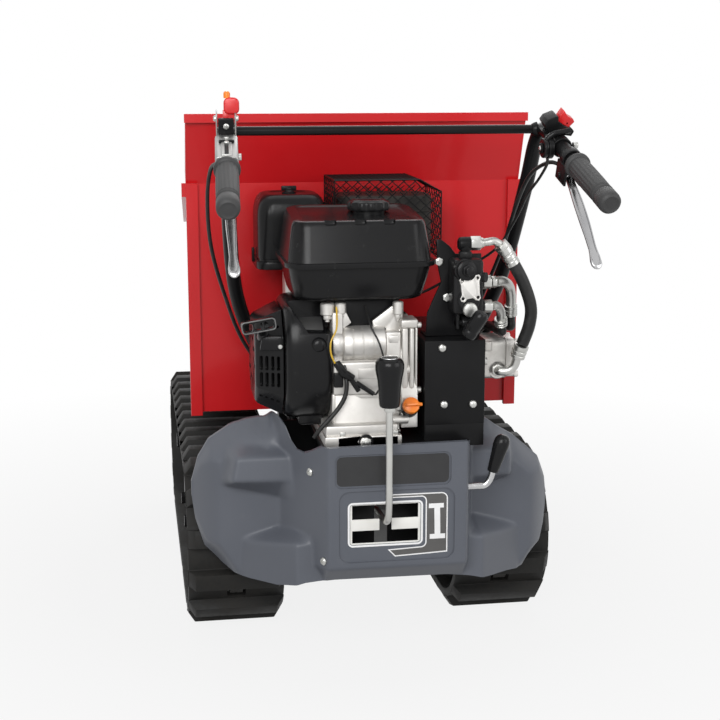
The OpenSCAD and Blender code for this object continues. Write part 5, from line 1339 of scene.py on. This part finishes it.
bar = Shape.tube("bar_tube", [(124, -70, 404), (150, -76, 440), (196, -104, 530), (232, -136, 614), (250, -186, 700),
                              (262, -270, 850), (265, -310, 922), (268, -344, 948), tuple(TOP_BEND + 58 * GRIP_DIR),
                              tuple(TOP_BEND + 120 * GRIP_DIR), tuple(GRIP_END - 4 * GRIP_DIR)], 13, 32, 8)
foot = Shape.box("bar_foot", (105, -95, 390), (142, -45, 408), 2, 3)
weld = Shape.turned("bar_weld", (118, -69, 407), (0.4, -0.1, 0.9),
                    [(0, 0), (17, 0), (18, 2), (16, 5), (13.4, 8), (0, 8)], 40)
collar = Shape.turned("bar_collar", (250, -338, 948), (1, 0, 0),
                      [(0, 0), (9, 0), (11, 3), (12.5, 8), (9, 8.2), (0, 8.2)], 32)
bar.join(foot, weld, collar)
bar.join(bar.copied("bar_other", MIRROR), Shape.rod("bar_cross", (-258, -338, 948), (258, -338, 948), 7.6, sides=40))
bar.fit("chassis", BLACK, ("handlebar",))

# Radius, height and depth of the ribs along a grip.
GRIP_PROFILE = ((14, 0, 0), (20, 0.2, 0), (21, 1.4, 0), (21, 6.4, 0), (20, 7.8, 0), (17.4, 9.4, 0), (17.3, 12, 0.3),
                (17.7, 40, 0.35), (17.8, 75, 0.35), (17.4, 108, 0.3), (17.2, 111, 0), (16.0, 112.4, 0), (16.0, 115, 0),
                (17.9, 116.4, 0), (17.9, 120, 0), (16.4, 121.4, 0), (16.4, 124, 0), (17.9, 125.4, 0), (18, 144, 0),
                (17.4, 148.6, 0), (15.6, 151.6, 0), (12.6, 153.2, 0), (11.4, 152.6, 0), (7, 153, 0))


def grip(side):
    """Ribbed rubber grip with a flange and a rounded end."""
    rings = []
    for r, h, swell in GRIP_PROFILE:
        rings.append([(r * math.cos(k) + swell * math.cos(18 * k) * math.cos(k), -h,
                       r * math.sin(k) + swell * math.cos(18 * k) * math.sin(k)) for k in ring_angles(108)])
    return seat(Shape.loft("grip", rings), on_grip(side, GRIP_RUN - 150))


grip(-1).join(grip(1)).fit("chassis", GRIP, ("grips",), 50)


def hand_lever(name, side):
    """Pressed lever: a flat flared blade with raised borders, and an eye on its pin."""
    rings = []
    for s, w, t, lift in ((6, 12, 11, 0), (14, 13, 10, 0), (26, 14, 8, 1), (60, 16.5, 6.8, 2), (95, 16.5, 6.2, 2.6),
                          (125, 14, 6, 1.8), (146, 13, 6.2, 0.8), (157, 15.5, 7, 0), (166, 18.5, 7.4, -0.6),
                          (174, 18, 6.8, -1), (179, 12, 5.4, -1.2), (181, 6, 3.4, -1.3)):
        rings.append([(x, -s, z + lift) for x, z in round_rect(w, t, min(w, t) * 0.42, 5)])
    blade = Shape.loft(name, rings)
    for x in (-1, 1):
        blade.join(Shape.tube("lever_border", [(u * x, y, z) for u, y, z in (
            (4.6, -28, 4.6), (6.4, -60, 5.4), (6.2, -100, 5.6), (4.8, -135, 4.5), (5.0, -150, 3.8), (6.4, -163, 3.0),
            (4.6, -172, 2.4), (0, -175.4, 1.9))], 1.5, 10, 6))
    seat(blade, turn(3.0 * side, "Z") @ turn(30, "X"))
    blade.join(bored("lever_eye", (-9, 0, 0), (9, 0, 0), 8, 4.05, 0.8, 40, 32))
    return seat(blade, on_grip(side, 140) @ Matrix.Translation((0, -12, -29)))


hand_lever("clutch_blade", -1).fit("clutch_hand_lever", POLISHED, ("clutch_lever",), 40)
hand_lever("brake_blade", 1).fit("brake_hand_lever", POLISHED, ("brake_lever",), 40)
Shape.of_node("clutch_bracket").soft(1.6, 3, clamp=False).fit("chassis", SATIN, ("clutch_bracket",))

SCREW_HEAD = [(0, 0), (4, 0), (4, 1.6), (2.8, 3), (0, 3.2)]


def on_bar(side, first, *others):
    """Joins pieces drawn along the bar and seats them on one side of it."""
    return seat(first.join(*others), on_grip(side, 0))


plates = on_bar(-1, Shape.box("clamp_cover", (-13.5, -112, 15), (13.5, -52, 19.6), 2.0, 3),
                Shape.box("clamp_tongue", (-9, -172, 15), (9, -120, 20.6), 2.4, 3),
                *(Shape.box("latch_cheek", (x, -86, 14), (x + 2.4, -56, 49), 0.8, 2) for x in (-16, 13.6)))
plates.fit("chassis", SATIN)
dark = on_bar(-1, Shape.box("tongue_slot", (-3.4, -170, 19), (3.4, -126, 21.4), 1.0, 2),
              Shape.box("tongue_bar", (-12, -122, 18), (12, -116, 22.4), 1.2, 2),
              Shape.box("latch_house", (-12.5, -90, 20), (12.5, -84, 46), 2.0, 3),
              Shape.turned("band", (0, -190, 0), (0, 1, 0), [(13, 0), (15.4, 0), (15.4, 9), (13, 9)], 40))
dark.fit("chassis", BLACK)
screws = on_bar(-1, *(Shape.turned("cover_screw", (0, y, z), (0, 0, 1), SCREW_HEAD, 24)
                      for y, z in ((-60, 19.4), (-104, 19.4), (-127, 21))),
                *(Shape.turned("cheek_screw", (16 * side, -72, 40), (side, 0, 0),
                               [(0, 0), (5, 0), (5, 2), (3.4, 4), (0, 4.2)], 24) for side in (-1, 1)),
                nut("side_bolt", (-17, -134, 0), (-23, -134, 0), 6),
                Shape.turned("house_screw", (0, -90, 34), (0, -1, 0),
                             [(0, 0), (4.6, 0), (4.6, 1.6), (3, 3), (0, 3.2)], 24))
screws.fit("chassis", ZINC)

arm = bored("latch_paddle", (-6, 0, 0), (6, 0, 0), 7, 3.05, 0.8, 40, 28)
arm.join(Shape.box("latch_arm", (-5, -5, 4), (5, 5, 24), 1.2),
         Shape.facing("paddle", round_rect(25, 27, 9, 6, (-9, 30)), -7, 14).soft(3.5, 4, 50))
tip = Shape.turned("latch_tip", (-2, 0, 42), (0, 0, 1),
                   [(0, 0), (5.2, 0), (5.4, 6), (5.2, 8.6), (3.6, 10.6), (0, 11.2)], 32)
for piece, paint, node in ((arm, RED_PLASTIC, ("clutch_latch",)), (tip, ORANGE, ())):
    seat(piece, on_grip(-1, 62) @ Matrix.Translation((0, -8, 28)) @ turn(-20, "X"))
    piece.fit("latch", paint, node, slot="red_plastic")

SWITCH_PLACE, THROTTLE_PLACE = on_grip(1, 58), on_grip(1, 94)
bracket = Shape.of_node("brake_bracket", "right_clamps").soft(1.2, 3, clamp=False)
bracket.cut(seat(Shape.box("house_room", (-45, -32, 15.5), (45, 5, 60)), SWITCH_PLACE))
house = [(-27, 31), (-22, 39.5), (-7, 45.5), (-4, 44.5), (-4, 37), (16.5, 23), (22, 24), (26.5, 19), (22.5, 10.5),
         (12, 12), (-4, 12), (-15, 14)]
throttle_ring = [(0, 0), (9, 0), (9, 1.4), (6.6, 2.6), (6, 1.2), (0, 1.2)]
bracket.join(seat(Shape.facing("switch_house", house, -28, 30).soft(2.0, 3), SWITCH_PLACE),
             seat(Shape.turned("throttle_ring", (-33, -8, -3), (-1, 0, 0), throttle_ring, 40), THROTTLE_PLACE))
bracket.fit("chassis", BLACK, ("brake_bracket",))
clamp_nuts = on_bar(1, nut("clamp_nut", (14, -118, 8), (22, -118, 8), 6),
                    nut("pin_nut", (11, -152, -29), (17, -152, -29), 6.5),
                    Shape.turned("ring_screw", (-34, -102, -3), (-1, 0, 0), SCREW_HEAD, 24))
clamp_nuts.fit("chassis", ZINC)
finger = bored("throttle_finger", (-7.4, 0, 0), (-0.4, 0, 0), 16, 4.05, 1.4, 48, 32, 3)
finger.join(Shape.tube("finger_tab", [(-4, 0, 11), (2, 0, 19.5), (10, 0, 25.6), (22, 0, 28), (36, 0, 31)],
                       4.8, 20, 6).soft(3, 4))
seat(finger, THROTTLE_PLACE @ Matrix.Translation((-24, -8, -3)))
finger.fit("throttle", PLASTIC, ("throttle_lever",), 40)
rocker = Shape.facing("rocker_cap", [(-18, -5), (-6, -5.5), (7, -4), (9, 9), (4, 11.5), (-7, 10), (-19.5, 14.5)], 0, 18)
rocker.soft(1.4, 3).cut(Shape.rod("rocker_bore", (0, -2, 0), (0, 20, 0), 2.05, sides=24))
seat(rocker, SWITCH_PLACE @ Matrix.Translation((14, -23, 31)) @ turn(33, "Y"))
rocker.fit("stop_switch", RED_PLASTIC, ("stop_rocker",))


# ---------------------------------------------------------------- bin, tracks, guard and fasteners

Shape.of_node("bin_shell", "bin_sheet").soft(0.9).fit("bin", RED, ("bin_shell",), 11)
for side in ("left", "right"):
    whole_track(side + "_track").soft(1.6, clamp=False).fit("chassis", RUBBER, (side + "_track",))
    wear(WHEEL, side + "_sprocket", side + "_idler", *(f"{side}_roller_{k}" for k in ("rear", "mid", "front")))
wear(BLACK, "main_frame", "left_track_frame", "right_track_frame", "hydraulic_tank", "cylinder_barrel")
guard = Shape.of_node("belt_guard", "belt_box").soft(1.5, 3, clamp=False)
guard.join(Shape.box("guard_skirt", (60.5, -379.5, 409), (165.5, -376, 452), 1.0, 2),
           Shape.box("skirt_side", (162.5, -379, 409), (165.5, -310, 452), 1.0, 2))
guard.fit("chassis", BLACK, ("belt_guard",))


def fasteners():
    """Screws and nuts of the CAD part, with the ones seen from behind made anew."""
    made = Shape.of_node("fasteners", "screws")
    made.pick(lambda m, n: m.y < -340 and (abs(m.x) > 130 and m.z < 420 or m.x > 60 and m.z > 450))
    bpy.ops.mesh.delete(type="FACE")
    rest_hands()
    made.soft(0.8)
    head = [(0, 0), (7, 0), (7, 1.6), (5.6, 3.8), (3, 5), (0, 5.3)]
    made.join(*(Shape.turned("guard_screw", (x, -380.5, z), (0, -1, 0), head, 32)
                for x, z in ((90, 583), (94, 484), (145, 483))))
    for x, z in ((91, 726), (105, 664)):
        made.join(nut("sheet_nut", (x, -340, z), (x, -347, z), 7.5),
                  Shape.rod("sheet_stud", (x, -346, z), (x, -351, z), 4, sides=20))
    away = Vector((-0.852, -0.523, 0))
    for place in ((-138.5, -388.2, 377), (-120, -418.3, 227)):
        made.join(Shape.turned("panel_screw", Vector(place) - away, away, [
            (0, 0), (7, 0), (7, 3.2), (5, 5), (2, 5.2), (1.8, 3.6), (0, 3.6)], 32))
    return made


fasteners().fit("chassis", ZINC, ("fasteners",))
wear(CHROME, "cylinder_rod")
wear(ALLOY, "cylinder_head", "carburettor")
wear(IRON, "gearbox_case", "crankshaft", "driven_pulley")
wear(HOSE, "drive_belt")
